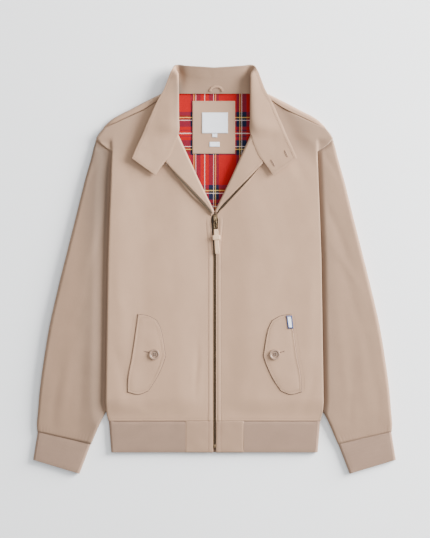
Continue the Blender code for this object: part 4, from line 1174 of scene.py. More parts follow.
def make_flaps(finish, thread, dark, edging):
    """Slanted flaps that follow the front, full inside their edges and sewn on along the straight side, with
    a dark strand of painted shadow round each edge.
    """
    low, top, straight, curved = flap_outline()
    plan = coons(low, top, straight, curved)
    u = np.linspace(0, 1, plan.shape[1])[None]
    v = np.linspace(0, 1, plan.shape[0])[:, None]
    edge = np.minimum(np.minimum(u, 1 - u) * 50, np.minimum(v, 1 - v) * 150)
    for side, wearer in SIDES:
        grid = over_front(plan, side, FLAP_LOW_Z + FLAP / 2)
        uneven = 0.22 * drift(plan[..., 0] * side, plan[..., 1], 9.0 + side, 55)
        grid[..., 2] += 0.35 * ease(edge / 14) + uneven
        grid[..., 2] -= 0.22 * hump((edge - 4.2) / 1.2)
        made = cloth(f"cloth_flap_{wearer}", [turned(grid, side)], FLAP, finish, rim=0.3)
        inner = flap_outline(4.2)
        rim = np.vstack([inner[0], inner[3][1:], inner[1][::-1][1:]])
        lift = FLAP_LOW_Z + FLAP + 0.2
        welt = straight + np.array([7.2, 1.0])
        rows = [over_front(rim, side, lift), over_front(straight + np.array([-1.6, 0]), side, lift),
                over_front(welt, side, ON_CLOTH)]
        sew = stitching(f"sewing_flap_{wearer}", [turned(row, side) for row in rows], thread)
        # Painted shadow: a thin dark strand laid just outside the flap's outline.
        low, top, straight_out, curved_out = flap_outline(-0.45)
        rim = np.vstack([low, curved_out[1:], top[::-1][1:], straight_out[::-1][1:-1]])
        edge_path = turned(over_front(rim, side, CLOTH / 2 + 0.3), side)
        painted_edge_shadow = loop_piece(f"edging_flap_{wearer}", strand(edge_path, 0.6, 6, True), edging)
        ends = over_front(np.array(FLAP_HOLE), side, lift + 0.25)
        extras = [sew, painted_edge_shadow] + buttonhole(f"buttonhole_flap_{wearer}", ends, side, thread, dark)
        dress(made, node=f"flap_{wearer}")
        dress_all(extras)


def buttonhole(name, ends, side, thread, dark):
    """A worked slit: a dark tube of painted shade in its gap, and close thread bars round it along a narrow
    loop with round ends.
    """
    ends = turned(np.asarray(ends, float), side)
    a, b = ends
    run = (b - a) / np.linalg.norm(b - a)
    across = np.array([-run[1], run[0], 0.0])
    turn = np.linspace(0, 2 * np.pi, 180, endpoint=False)
    bulge = squarish(np.cos(turn), 0.35)
    centre, half = (a + b) / 2, np.linalg.norm(b - a) / 2
    loop = centre + run * (bulge * half)[:, None] + across * (0.85 * np.sin(turn))[:, None]
    bars = 0.42 + 0.1 * np.cos(turn * 36)
    worked = loop_piece(name, strand(loop, bars, 6, True, 0.8), thread)
    share = np.linspace(-1, 1, 12)
    # Painted shade: a dark tube laid in the slit stands for the shade in its gap.
    slit = centre + run * (share * (half - 0.4))[:, None] - np.array([0, 0, 0.1])
    tube = strand(slit, 0.42 * np.sqrt(1.04 - share**2), 6, False, 0.5)
    return [worked, tubes_piece(f"{name}_slit", [tube], dark)]


# ---- collar ----
def unit(vectors):
    """Vectors made one long."""
    return vectors / np.linalg.norm(vectors, axis=-1, keepdims=True)


def bend_reach(run, fold):
    """How strongly a leg of the collar follows its heading at the turn: less where it folds over."""
    length = np.linalg.norm(run, axis=-1, keepdims=True)
    return (1 - fold) * length + fold * np.minimum(8 + 0.22 * length, 1.5 * length)


def leg(t, start, end, leave, arrive):
    """Cubic from start to end with the given slopes at its ends, as Hermite wrote it."""
    return ((2 * t**3 - 3 * t**2 + 1) * start + (t**3 - 2 * t**2 + t) * leave
            + (3 * t**2 - 2 * t**3) * end + (t**3 - t**2) * arrive)


def collar_half():
    """Half of the collar: each section is a stand from its seam to the turn, and a leaf to its free edge."""
    section = columns(COLLAR_SECTIONS)
    keys = np.column_stack([section[name] for name in COLLAR_SECTIONS[0]])
    middle = (keys[:, 3:6] + keys[:, 6:9]) / 2
    steps = run_along(middle)
    where = fine(steps, 2.4)
    keys = smooth_rows(keys, steps, where)
    keys[:, 9] = np.clip(keys[:, 9], 0, 1)
    seam, turn, free, fold = keys[:, :3], keys[:, 3:6], keys[:, 6:9], keys[:, 9:]
    heading = unit((1 - fold) * unit(free - seam) + fold * np.array([0.0, 0.0, 1.0]))
    t = np.linspace(0, 1, 16)[:, None, None]
    stand = leg(t, seam, turn, turn - seam, heading * bend_reach(turn - seam, fold))
    t = np.linspace(0, 1, 24)[:, None, None] ** 1.25
    leaf = leg(t, turn, free, heading * bend_reach(free - turn, fold), free - turn)
    return np.vstack([stand, leaf[1:]]), where


def collar_grid():
    """The whole collar, its leaf slightly uneven and pressed down along its sewn edges."""
    half, where = collar_half()
    both = []
    for side in (-1, 1):
        grid = turned(half, side)
        down = np.cumsum(np.linalg.norm(np.diff(grid[::-1], axis=0), axis=2), axis=0)
        down = np.vstack([np.zeros(down.shape[1]), down])[::-1]
        end = where[-1] - where[None]
        edge = np.minimum(down, end)
        leafy = ease((np.arange(len(grid)) - 18) / 6)[:, None]
        x, y = grid[..., 0], grid[..., 1]
        swell = 0.4 * drift(x, y, 12.0, 70) + 0.12 * drift(x, y, 13.0, 26)
        swell = swell * ease(edge / 10) * leafy - 0.25 * hump((edge - 5.2) / 1.3) * leafy
        grid[..., 2] += swell - 0.35 * hump(edge / 1.5) * leafy
        both.append(grid)
    return np.concatenate([both[0][:, :0:-1], both[1]], axis=1), both


def height_on(grid, x, y):
    """Highest point of a grid near a place, for what lies on it."""
    near = np.hypot(grid[..., 0] - x, grid[..., 1] - y) < 3.5
    return grid[..., 2][near].max()


def collar_painted_shade(x, y):
    """Painted shade inside the back of the collar, most in its right-hand corner, and on the right roll."""
    inside = ease((y - 338) / 3) * ease((70.5 - np.abs(x)) / 2)
    roll = hump((x + 71) / 7) * ease((y - 225) / 50) * ease((372 - y) / 20)
    return inside * (0.2 + 0.24 * ease((-x - 44) / 22)) + 0.3 * roll


COLLAR_HOLES = (("upper", ((134.5, 229.7), (140.5, 217.1))), ("lower", ((108.9, 211.9), (115.4, 199.4))))


def make_collar(finish, thread, dark, edging):
    """The collar with its edge sewing, two buttonholes on the left tab, the hanger loop at its seam, and
    painted shade inside its back and on its right roll.
    """
    whole, both = collar_grid()
    made = cloth("cloth_collar", [whole], COLLAR, finish, even=False, rim=0.5)
    # Painted shade inside the collar's back and along its right roll.
    set_painted_shade(made, collar_painted_shade)
    lift = COLLAR / 2 + 0.12
    rows = []
    for grid in both:
        rows += [edge_row(grid, 5.2, lift)[30:-2], grid[16:, -3] + np.array([0, 0, lift])]
    extras = [stitching("sewing_collar", rows, thread)]
    for name, ends in COLLAR_HOLES:
        line = np.array([[x, y, height_on(both[1], x, y) + lift + 0.15] for x, y in ends])
        extras += buttonhole(f"buttonhole_collar_{name}", line, 1, thread, dark)
    dress(made, node="collar")
    dress_all(extras)
    extras += make_hanger_loop(finish, thread, edging)


# ---- neck patch, labels and hanger loop ----
def flat_sheet(x_span, y_span, z, pitch, seed, swell, edge_drop):
    """A small flat piece between two X and two Y values, slightly uneven and pressed down at its edges."""
    x, y = np.meshgrid(fine(x_span, pitch), fine(y_span, pitch))
    edge = np.minimum(np.minimum(x - x_span[0], x_span[1] - x), np.minimum(y - y_span[0], y_span[1] - y))
    relief = swell * drift(x, y, seed, 40) * ease(edge / 6) - edge_drop * hump(edge / 1.2)
    return np.stack([x, y, z + relief], axis=-1)


def centred(mesh, x_mid, y_mid, slant=0.0):
    """Cloth coordinates measured from a label's own middle, so that its border follows its edges."""
    points = points_of(mesh)
    corners = np.zeros(len(mesh.loops), dtype=np.int32)
    mesh.loops.foreach_get("vertex_index", corners)
    y = points[:, 1] - y_mid * MM
    x = points[:, 0] - x_mid * MM - slant * y
    mesh.uv_layers["cloth"].uv.foreach_set("vector", np.column_stack([x, y])[corners].ravel())


SMALL_STITCH = {"length": 1.8, "space": 0.7, "radius": 0.2}
SMALLEST_SHEET = 0.01         # metres; labels lower than this are gathered in a list in make_labels that nothing reads
# Each label: name, X span, Y span, thickness, height of its underside, slot.
LABELS = (("label_patch", (-42.6, 39.8), (224.1, 325.8), 1.0, 3.3, "twill"),
          ("neck_label", (-24.3, 25.7), (263.6, 303.6), 0.6, 4.5, "woven_label"),
          ("size_tab", (-4.8, 5.2), (255.8, 263.1), 0.6, 4.5, "woven_label"),
          ("small_tab", (-10.0, 9.7), (237.4, 247.0), 0.6, 4.5, "woven_label"))


def make_labels(cloths, thread, thread_white):
    """The self-cloth patch in the neck, the blank woven label on it and two small blank tabs."""
    small = []
    for name, x_span, y_span, thickness, bottom, slot in reversed(LABELS):
        mid = bottom + thickness / 2
        grid = flat_sheet(x_span, y_span, mid, 1.3, 15.0, 0.12, 0.1)
        made = cloth(f"sewn_{name}", [grid], thickness, cloths[name])
        centred(made.data, sum(x_span) / 2, sum(y_span) / 2)
        inset = 1.6 if slot == "twill" else 1.0
        x0, x1, y0, y1 = x_span[0] + inset, x_span[1] - inset, y_span[0] + inset, y_span[1] - inset
        corners = ((x0, y0), (x1, y0), (x1, y1), (x0, y1), (x0, y0))
        top = mid + thickness / 2 + 0.02
        rows = [sew_line(*a, *b, top) for a, b in zip(corners[:-1], corners[1:])]
        sew = stitching(f"sewing_{name}", rows, thread if slot == "twill" else thread_white, **SMALL_STITCH)
        dress(made, node=name)
        dress(sew)
        width, height = (x_span[1] - x_span[0]) * MM, (y_span[1] - y_span[0]) * MM
        if height < SMALLEST_SHEET:
            small += [made, sew]
        else:
            small = []


def make_pocket_label(finish):
    """The small woven flag on the left pocket, along the flap's straight side."""
    x, y = np.meshgrid(np.linspace(139.4, 150.4, 12), np.linspace(-112.6, -87.4, 24))
    plan = np.stack([x + (y + 100) * -0.12, y], axis=-1)
    grid = over_front(plan, 1, FLAP_LOW_Z + FLAP + GAP + 0.55)
    made = cloth("sewn_pocket_label", [grid], 0.6, finish)
    centred(made.data, 144.9, -100.0, slant=-0.12)
    dress(made, node="pocket_label")


def make_hanger_loop(finish, thread, edging):
    """Narrow doubled strip bent in an arch at the neck seam, a little cupped across its width, with a dark
    strand of painted shadow along each edge.
    """
    arch = np.linspace(0.05 * np.pi, 0.95 * np.pi, 60)
    grid = []
    for inset in np.linspace(0.0, 4.4, 9):
        x = 3.9 - (14.4 - inset) * np.cos(arch)
        y = 341.0 + (14.5 - inset) * np.sin(arch) ** 0.8
        cup = 0.3 * (1 - ((inset - 2.2) / 2.2) ** 2)
        grid.append(np.column_stack([x, y, 4.2 + (y - 340) * 0.125 + COLLAR / 2 + GAP + 0.9 + cup]))
    grid = np.array(grid)
    made = cloth("sewn_hanger_loop", [grid], 1.2, finish)
    rows = [grid[k] + np.array([0, 0, 0.68]) for k in (1, 7)]
    sew = stitching("sewing_hanger_loop", rows, thread, **SMALL_STITCH)
    # Painted shadow: thin dark strands along both edges of the loop.
    painted_shadow_rims = [strand(grid[k] + np.array([0, 0, -0.3]), 0.45, 6) for k in (0, 8)]
    painted_edge_shadow = tubes_piece("edging_hanger_loop", painted_shadow_rims, edging)
    dress(made, node="hanger_loop")
    dress_all((sew, painted_edge_shadow))
    return [made, sew, painted_edge_shadow]


# ---- buttons ----
def button_grid(centre, radius, height, base_z):
    """Turned button: dished middle, raised rim, domed edge, flat base, and four wells sunk in its face."""
    turn = np.linspace(0, 2 * np.pi, 84, endpoint=False)
    share = np.linspace(0, 1, 52)
    face = share * 0.94
    dish = height * (0.62 + 0.36 * ease((face - 0.6) / 0.14) - 0.1 * hump((face - 0.55) / 0.07))
    bend = np.linspace(0, np.pi / 2, 7)[1:]
    r = np.r_[face, 0.94 + 0.06 * np.sin(bend), 0.97, 0.88, np.linspace(0.8, 0, 6)] * radius
    z = np.r_[dish, height * (0.55 + 0.43 * np.cos(bend)), height * 0.22, 0.06 * height, np.zeros(6)]
    x = r[:, None] * np.cos(turn)
    y = r[:, None] * np.sin(turn)
    z = z[:, None] + np.zeros_like(x)
    for k in range(4):
        angle = math.pi / 4 + k * math.pi / 2
        far = np.hypot(x - radius * 0.24 * math.cos(angle), y - radius * 0.24 * math.sin(angle))
        well = (1 - ease((far - radius * 0.1) / (radius * 0.035))) * (np.arange(len(r)) < 52)[:, None]
        z = z - well * height * 0.5
    return np.stack([x + centre[0], y + centre[1], z + base_z], axis=-1)


def button_thread(name, centre, radius, top_z, thread):
    """Two pairs of threads between the wells, each a low bow."""
    grids = []
    for side in (-1, 1):
        for shift in (-0.32, 0.0, 0.32):
            run = np.linspace(-1, 1, 9)
            path = np.column_stack([centre[0] + side * radius * 0.17 + shift, centre[1],
                                    top_z]) + np.zeros((9, 3))
            path[:, 1] += run * radius * 0.18
            path[:, 2] += 0.42 * (1 - run**2) - 0.35
            grids.append(strand(path, 0.2, 6))
    return tubes_piece(name, grids, thread)


def make_buttons(finish, thread):
    """The four buttons, each with its own thread."""
    flap_top = front_height(*FLAP_BUTTON) + FLAP_LOW_Z + FLAP + GAP
    under_tab = front_height(130, 210) + CLOTH / 2 + GAP
    for name, centre, radius, height, base_z in (
            ("pocket_button_left", FLAP_BUTTON, BUTTON_R, 3.2, flap_top),
            ("pocket_button_right", (-FLAP_BUTTON[0], FLAP_BUTTON[1]), BUTTON_R, 3.2, flap_top),
            ("collar_button_upper", (-141.0, 219.0), 7.2, 2.6, under_tab),
            ("collar_button_lower", (-119.5, 201.5), 7.2, 2.6, under_tab)):
        mesh = mesh_of(f"resin_{name}", [button_grid(centre, radius, height, base_z)], close=True)
        made = piece(f"resin_{name}", mesh, finish, 35.0)
        sew = button_thread(f"thread_{name}", centre, radius, base_z + height * 0.62, thread)
        dress(made, node=name)
        dress(sew)


# ---- zip ----
def block(centre, half, power, rings=14, sides=28):
    """Rounded block: a sphere squared off, its outline in plan and its side view each a superellipse."""
    v = np.linspace(-np.pi / 2, np.pi / 2, rings)[:, None]
    u = np.linspace(0, 2 * np.pi, sides, endpoint=False)[None]
    plan, tall = 2 / power[0], 2 / power[1]
    x = half[0] * squarish(np.cos(v), tall) * squarish(np.cos(u), plan)
    y = half[1] * squarish(np.cos(v), tall) * squarish(np.sin(u), plan)
    z = half[2] * squarish(np.sin(v), tall) + np.zeros_like(x)
    return np.stack([centre[0] + x, centre[1] + y, centre[2] + z], axis=-1)


TOOTH_PITCH = 3.0
METAL_DEG = 40.0              # edges of the metal pieces sharper than this stay sharp
TAPE_SPAN = (-345.0, 109.0)
TAPE_Z = 5.5
CHAIN_Z = 7.65
TAPE_IN = 0.8                 # from the facing's edge to the opened half's tape
# One tooth from its head over its neck to its foot: place along it, half width, half height.
TOOTH = (("at", "half", "tall"), (
    (-0.95, 0.1, 0.3), (-0.9, 0.5, 0.85), (-0.3, 0.62, 1.0), (0.1, 0.44, 0.95), (0.7, 0.46, 1.1),
    (1.1, 0.66, 1.28), (2.1, 0.7, 1.3), (2.25, 0.5, 1.0), (2.3, 0.1, 0.3)))


def teeth(places, headings):
    """All teeth of a row as one set of rings: the tooth's profile along each heading, squared off across."""
    tooth = columns(TOOTH)
    turn = np.linspace(0, 2 * np.pi, 8, endpoint=False) + np.pi / 8
    round_x, round_z = squarish(np.cos(turn), 0.6), squarish(np.sin(turn), 0.6)
    places, headings = np.asarray(places, float), np.asarray(headings, float)
    across = np.column_stack([-headings[:, 1], headings[:, 0], np.zeros(len(headings))])
    ahead = np.column_stack([headings, np.zeros(len(headings))])
    rings = (places[:, None, None] + ahead[:, None, None] * tooth["at"][None, :, None, None]
             + across[:, None, None] * (tooth["half"][:, None] * round_x[None])[None, ..., None])
    rings[..., 2] += (tooth["tall"][:, None] * round_z[None])[None]
    return rings


def zip_row_path(side):
    """Line of the opened zip half on the lapel, along the facing's edge, and its width there."""
    _, roll = front_body(side)
    share, sizes = lapel_rows(roll)
    facing = np.column_stack([sizes["facing_half"], sizes["facing_y"]])
    edge = np.column_stack([sizes["edge_half"], sizes["edge_y"]])
    outwards = (edge - facing) / np.linalg.norm(edge - facing, axis=1)[:, None]
    width = np.clip(np.linalg.norm(edge - facing, axis=1) - 2.2, 0.5, 5.4 * (1 - 0.7 * share))
    height = front_height(facing[:, 0], facing[:, 1]) + 2 * sizes["roll_r"] + CLOTH / 2 + GAP + 0.6
    height = height + 0.3 * drift(edge[:, 0], edge[:, 1], 4.0, 60)
    return facing, outwards, width, height


def make_open_half(side, wearer, brass, tape):
    """The opened half of the zip on a lapel: a strip of tape, and teeth that grow with its width."""
    facing, outwards, width, height = zip_row_path(side)
    near = np.column_stack([facing + outwards * TAPE_IN, height])[1:-1]
    far = np.column_stack([facing + outwards * (TAPE_IN + width)[:, None], height])[1:-1]
    strip = np.array([near + (far - near) * share for share in np.linspace(0, 1, 6)])
    opened = cloth(f"zip_open_{wearer}", [turned(strip, side)], 1.2, tape)
    dress(opened, node=f"zip_row_{wearer}")
    steps = run_along(facing)
    at = np.arange(4.0, steps[-1] * 0.93, TOOTH_PITCH)
    mid = facing + outwards * (TAPE_IN + width * 0.5)[:, None]
    places = np.column_stack([np.interp(at, steps, mid[:, k]) for k in (0, 1)]
                             + [np.interp(at, steps, height) + 0.7])
    headings = np.column_stack([np.interp(at, steps, outwards[:, k]) for k in (0, 1)])
    scale = 0.55 + 0.35 * np.interp(at, steps, width / 3.6)
    rings = teeth(np.zeros_like(places), headings) * scale[:, None, None, None] + places[:, None, None]
    made = rings_piece(f"zip_open_teeth_{wearer}", turned(rings, side), brass, METAL_DEG)
    dress(made)
    return [opened, made]


def make_zip(brass, tape):
    """Both halves of the zip, with the closed teeth set by turns, and the box at its lower end."""
    for side, wearer in SIDES:
        x, y = np.meshgrid(fine([0.3, 2.4, 11.3], 0.7), fine(TAPE_SPAN, 3.0))
        cord = 0.25 * hump((x - 1.1) / 0.7)
        sheet = turned(np.stack([x, y, TAPE_Z + cord], axis=-1), side)
        tape_cloth = cloth(f"zip_cloth_{wearer}", [sheet], 1.0, tape)
        dress(tape_cloth, node=f"zip_tape_{wearer}")
        count = int((106.0 - ZIP_LOW_Y) / TOOTH_PITCH)
        rows = ZIP_LOW_Y + 1.0 + TOOTH_PITCH * (np.arange(count) + (0.5 if side < 0 else 0.0))
        places = np.column_stack([np.zeros(count), rows, np.full(count, CHAIN_Z)])
        rings = teeth(places, np.tile([side, 0.0], (count, 1)))
        made = rings_piece(f"zip_teeth_{wearer}", rings, brass, METAL_DEG)
        dress(made, node="zip_chain" if side > 0 else None)
        extras = make_open_half(side, wearer, brass, tape)
    box = mesh_of("zip_end_box", [block((0, ZIP_LOW_Y - 4.2, TAB_Z), (2.4, 3.8, 1.5), (7, 4))], close=True)
    made = piece("zip_end_box", box, brass, METAL_DEG)
    dress(made, node="zip_box")


SLIDER_Y = 99.4
WIRE_DEG = 60.0               # the same for bent metal wire


def make_slider(brass):
    """Slider: a rounded plate with raised flanges, tapered to its throat, and an arched bridge."""
    x0 = HINGE[0]
    plate = block((x0, SLIDER_Y, 10.6), (3.8, 7.8, 0.8), (3.2, 4.0), rings=18, sides=48)
    taper = 1 - 0.26 * ease((SLIDER_Y + 2.0 - plate[..., 1]) / 9.0)
    plate[..., 0] = x0 + (plate[..., 0] - x0) * taper
    flanges = []
    for side in (-1, 1):
        run = np.linspace(-6.4, 6.4, 14)
        half = 2.9 - 0.75 * ease((2.0 - run) / 9.0)
        path = np.column_stack([x0 + side * half, SLIDER_Y + run, np.full(14, 11.3)])
        flanges.append(strand(path, 0.42 * np.sqrt(np.maximum(1.02 - (run / 6.5) ** 2, 0.02)), 8))
    turn = np.linspace(0, np.pi, 22)
    path = np.column_stack([np.full(22, x0), SLIDER_Y - 1.0 + 5.6 * np.cos(turn),
                            11.2 + 3.75 * np.sin(turn) ** 0.7])
    bridge = strand(path, 0.62, 10)
    made = piece("slider_body", mesh_of("slider_body", [plate], close=True), brass, METAL_DEG)
    parts = tubes_piece("slider_bridge", flanges + [bridge], brass, WIRE_DEG)
    dress(made, node="zip_slider")
    dress(parts)


# Round a band's wall: how far out from its slot, and how far along its half length.
BAND_PROFILE = (
    (1.0, -0.8), (0.93, -0.95), (0.75, -1.0), (0.25, -1.0), (0.05, -0.95), (0.0, -0.8), (0.0, 0.0),
    (0.0, 0.8), (0.05, 0.95), (0.25, 1.0), (0.75, 1.0), (0.93, 0.95), (1.0, 0.8), (1.0, 0.0), (1.0, -0.8))


def wall_ring(outer, inner, half_length, turn_count=40):
    """A band round a strap: its outside and its slot are superellipses, and its ends are rounded off."""
    u = np.linspace(0, 2 * np.pi, turn_count, endpoint=False)
    round_x, round_z = squarish(np.cos(u), 0.4), squarish(np.sin(u), 0.4)
    big, small = [(round_x * half[0], round_z * half[1]) for half in (outer, inner)]
    return np.array([np.column_stack([small[0] + (big[0] - small[0]) * share,
                                      np.full(turn_count, at * half_length),
                                      small[1] + (big[1] - small[1]) * share]) for share, at in BAND_PROFILE])


def hung(grid):
    """Moves a grid from the pull's own place, its pivot at 0 and its length down -Y, onto the jacket."""
    slant = math.atan(-STRAP_SLANT)
    c, s = math.cos(slant), math.sin(slant)
    x, y = grid[..., 0] * c - grid[..., 1] * s, grid[..., 0] * s + grid[..., 1] * c
    return np.stack([x + HINGE[0], y + HINGE[1], grid[..., 2] + HINGE[2]], axis=-1)


STRAP_Y = -40.4               # middle of the pull's strap from its pivot, before it is hung


def make_pull(finish, thread, brass):
    """Zip pull: a metal link with a window, a doubled cloth strap with a round end, and its keeper."""
    turn = np.linspace(0, 2 * np.pi, 64, endpoint=False)
    link_x = squarish(np.cos(turn), 0.55) * 2.5
    link_y = -7.2 + squarish(np.sin(turn), 0.7) * 7.2
    link = strand(np.column_stack([link_x, link_y, np.zeros(64)]), 0.66, 10, closed=True)
    bar = strand(np.column_stack([np.linspace(-2.5, 2.5, 8), np.full(8, -8.4), np.zeros(8)]), 0.6, 8)
    link = np.concatenate([link, link[:1]])
    place = np.array(HINGE)
    made = tubes_piece("pull_link", [link + place, bar + place], brass, WIRE_DEG)
    dress(made, "pull", node="zip_pull")
    strap = block((0, 0, 0), (4.5, 24.2, 1.15), (7.0, 3.2), rings=16, sides=96)
    strap[..., 2] *= 1 + 0.06 * drift(strap[..., 0], strap[..., 1], 17.0, 20)
    strap = hung(strap + np.array([0, STRAP_Y, 0]))
    strap_cloth = piece("pull_cloth", mesh_of("pull_cloth", [strap], close=True), finish)
    loop = np.column_stack([squarish(np.cos(turn), 0.3) * 3.3,
                            STRAP_Y + squarish(np.sin(turn), 0.3) * 22.6, np.full(64, 1.12)])
    loop = np.vstack([loop, loop[:1]])
    sew = stitching("sewing_pull", [hung(loop)], thread, length=1.6, space=0.7, radius=0.2)
    dress(strap_cloth, "pull", node="pull_strap")
    dress(sew, "pull")
    band = hung(wall_ring((7.6, 2.6), (4.85, 1.4), 4.3) + np.array([0, -32.4, 0]))
    keeper = piece("pull_keeper", mesh_of("pull_keeper", [band], close=True), finish)
    dress(keeper, "pull", node="strap_keeper")


# ---- stage ----
VIEW_HEIGHT = 1.0383          # metres of the surface shown from top to bottom
VIEW_CENTRE = (0.00097, 0.00193)
FLOOR_HALF = 6.0
CAMERA_UP = 4.0
SENSOR = 24.0


def make_stage(settings):
    """A pale floor, a large soft key light from the upper right, a fill and a pale room, seen from above."""
    mesh = bpy.data.meshes.new("floor")
    corners = [(x * FLOOR_HALF, y * FLOOR_HALF, 0) for x, y in ((-1, -1), (1, -1), (1, 1), (-1, 1))]
    mesh.from_pydata(corners, [], [(0, 1, 2, 3)])
    floor = bpy.data.objects.new("floor", mesh)
    bpy.context.scene.collection.objects.link(floor)
    made, tree, shader, _, _ = start_material("pale_floor", 0.9)
    shade, _ = tinted(tree, (0.96, 0.96, 0.96), 0.995, 1.005, 400, 20.0)
    tree.links.new(shade, shader.inputs["Base Color"])
    shader.inputs["Specular IOR Level"].default_value = 0.0
    mesh.materials.append(made)
    floor.location.z = -0.0003
    for name, place, width, power in (("key", (3.3, 1.4, 1.3), 2.3, settings.key),
                                      ("top", (0.4, 0.6, 3.4), 2.6, settings.top)):
        light = bpy.data.lights.new(name, "AREA")
        light.shape = "SQUARE"
        light.size = width
        light.energy = power
        lamp = bpy.data.objects.new(name, light)
        lamp.location = place
        away = -np.array(place)
        lamp.rotation_euler = (math.atan2(math.hypot(away[0], away[1]), -away[2]), 0,
                               math.atan2(away[1], away[0]) - math.pi / 2)
        bpy.context.scene.collection.objects.link(lamp)
    world = bpy.data.worlds.new("pale_room")
    world.use_nodes = True
    background = world.node_tree.nodes["Background"]
    background.inputs[0].default_value = (0.93, 0.99, 1.04, 1)
    background.inputs[1].default_value = settings.room
    bpy.context.scene.world = world
    lens = bpy.data.cameras.new("camera")
    lens.sensor_fit = "VERTICAL"
    lens.sensor_height = SENSOR
    lens.lens = SENSOR * CAMERA_UP / VIEW_HEIGHT
    lens.clip_end = 50
    camera = bpy.data.objects.new("camera", lens)
    camera.location = (*VIEW_CENTRE, CAMERA_UP)
    bpy.context.scene.collection.objects.link(camera)
    bpy.context.scene.camera = camera


# ---- settings ----
def colour_property(name, description, default):
    """A colour that the panel shows."""
    return FloatVectorProperty(name=name, description=description, default=default, size=3, min=0, max=1,
                               subtype="COLOR")


class JacketFinish(bpy.types.PropertyGroup):
    """Colours of the cloth and the fittings."""
    twill: colour_property("Twill", "Colour of the outer cloth", (0.382, 0.231, 0.143))
    knit: colour_property("Rib knit", "Colour of the waistband and cuffs", (0.272, 0.170, 0.115))
    thread: colour_property("Thread", "Colour of the sewing", (0.310, 0.185, 0.120))
    brass: colour_property("Brass", "Colour of the zip's metal", (0.150, 0.104, 0.060))
    tape: colour_property("Tape", "Colour of the zip's tape", (0.060, 0.038, 0.023))
    button: colour_property("Buttons", "Colour of the buttons", (0.270, 0.166, 0.110))
    strap: colour_property("Pull", "Colour of the zip pull's strap", (0.560, 0.370, 0.230))
    label: colour_property("Label", "Field of the woven labels", (0.780, 0.790, 0.830))
    border: colour_property("Border", "Border of the woven labels", (0.030, 0.045, 0.130))


class JacketStage(bpy.types.PropertyGroup):
    """Lights of the stage."""
    key: FloatProperty(name="Key", description="Power of the soft key light", default=790.0, min=0,
                       unit="POWER")
    top: FloatProperty(name="Top", description="Power of the light above", default=50.0, min=0, unit="POWER")
    room: FloatProperty(name="Room", description="Brightness of the pale room", default=0.62, min=0, max=2,
                        subtype="FACTOR")


# A colour that is another one made darker: whose colour it is, and its share. The sleeves' twill is darkened
# as painted shade, the edge thread is for painted shadow lines, and the dark thread also paints the shade in
# buttonhole slits.
SHADES = {"twill_sleeve": ("twill", 0.74), "twill_tab": ("twill", 0.80), "thread_edge": ("thread", 0.26),
          "thread_dark": ("thread", 0.16), "thread_white": ("label", 0.8), "pale_border": ("label", 0.86)}
# Each finish: what makes it, then its colours and sizes in order.
FINISHES = {
    "twill": (twill_finish, "twill"),
    "twill_sleeve": (twill_finish, "twill_sleeve", 3.0),
    "twill_tab": (twill_finish, "twill_tab", 6.0),
    "twill_strap": (twill_finish, "strap", 4.0),
    "knit": (rib_finish, "knit"),
    "tartan": (tartan_finish,),
    "brass": (metal_finish, "brass"),
    "tape": (tape_finish, "tape"),
    "button": (button_finish, "button"),
    "thread": (thread_finish, "thread"),
    "thread_edge": (thread_finish, "thread_edge"),
    "thread_dark": (thread_finish, "thread_dark"),
    "thread_white": (thread_finish, "thread_white"),
    "label_neck": (label_finish, "label", "pale_border", 25.0, 20.0, 1.4),
    "label_size": (label_finish, "label", "pale_border", 5.0, 3.65, 0.5),
    "label_small": (label_finish, "label", "pale_border", 9.85, 4.8, 0.7),
    "label_pocket": (label_finish, "label", "border", 5.5, 12.6, 2.5),
}


def finish_of(kind):
    """The jacket's own material of that kind, made on first use from the settings."""
    name = f"jacket_{kind}"
    found = bpy.data.materials.get(name)
    if found:
        return found
    maker, *values = FINISHES[kind]
    for place, value in enumerate(values):
        if isinstance(value, str):
            base, share = SHADES.get(value, (value, 1.0))
            values[place] = tuple(v * share for v in getattr(bpy.context.scene.jacket_finish, base))
    return maker(name, *values)


def finishes(*kinds):
    """The materials of several kinds."""
    return [finish_of(kind) for kind in kinds]


# ---- operators ----
class JACKET_OT_back(bpy.types.Operator):
    """Builds the back and the lining in the open neck"""
    bl_idname = "jacket.back"
    bl_label = "Back and Lining"

    def execute(self, context):
        make_back(finish_of("twill"))
        make_lining(finish_of("tartan"))
        return {"FINISHED"}


class JACKET_OT_fronts(bpy.types.Operator):
    """Builds both fronts with their turned-back lapels, facings and sewing"""
    bl_idname = "jacket.fronts"
    bl_label = "Fronts"

    def execute(self, context):
        make_fronts(*finishes("twill", "thread"))
        make_facings(*finishes("twill", "thread"))
        return {"FINISHED"}


class JACKET_OT_sleeves(bpy.types.Operator):
    """Builds both sleeves"""
    bl_idname = "jacket.sleeves"
    bl_label = "Sleeves"

    def execute(self, context):
        # Painted shade: the sleeves wear a darker copy of the body's twill.
        make_sleeves(finish_of("twill_sleeve"))
        return {"FINISHED"}


class JACKET_OT_knit(bpy.types.Operator):
    """Builds the rib-knit cuffs and waistband and its plain tabs"""
    bl_idname = "jacket.knit"
    bl_label = "Rib Knit"

    def execute(self, context):
        make_cuffs(finish_of("knit"))
        make_hem_rib(finish_of("knit"))
        make_hem_tabs(*finishes("twill_tab", "thread"))
        return {"FINISHED"}


class JACKET_OT_pockets(bpy.types.Operator):
    """Builds the pocket flaps with their sewing and buttonholes, and the pocket's blank label"""
    bl_idname = "jacket.pockets"
    bl_label = "Pockets"

    def execute(self, context):
        make_flaps(*finishes("twill", "thread", "thread_dark", "thread_edge"))
        make_pocket_label(finish_of("label_pocket"))
        return {"FINISHED"}


class JACKET_OT_collar(bpy.types.Operator):
    """Builds the collar with its sewing, buttonholes and hanger loop"""
    bl_idname = "jacket.collar"
    bl_label = "Collar"

    def execute(self, context):
        make_collar(*finishes("twill", "thread", "thread_dark", "thread_edge"))
        return {"FINISHED"}


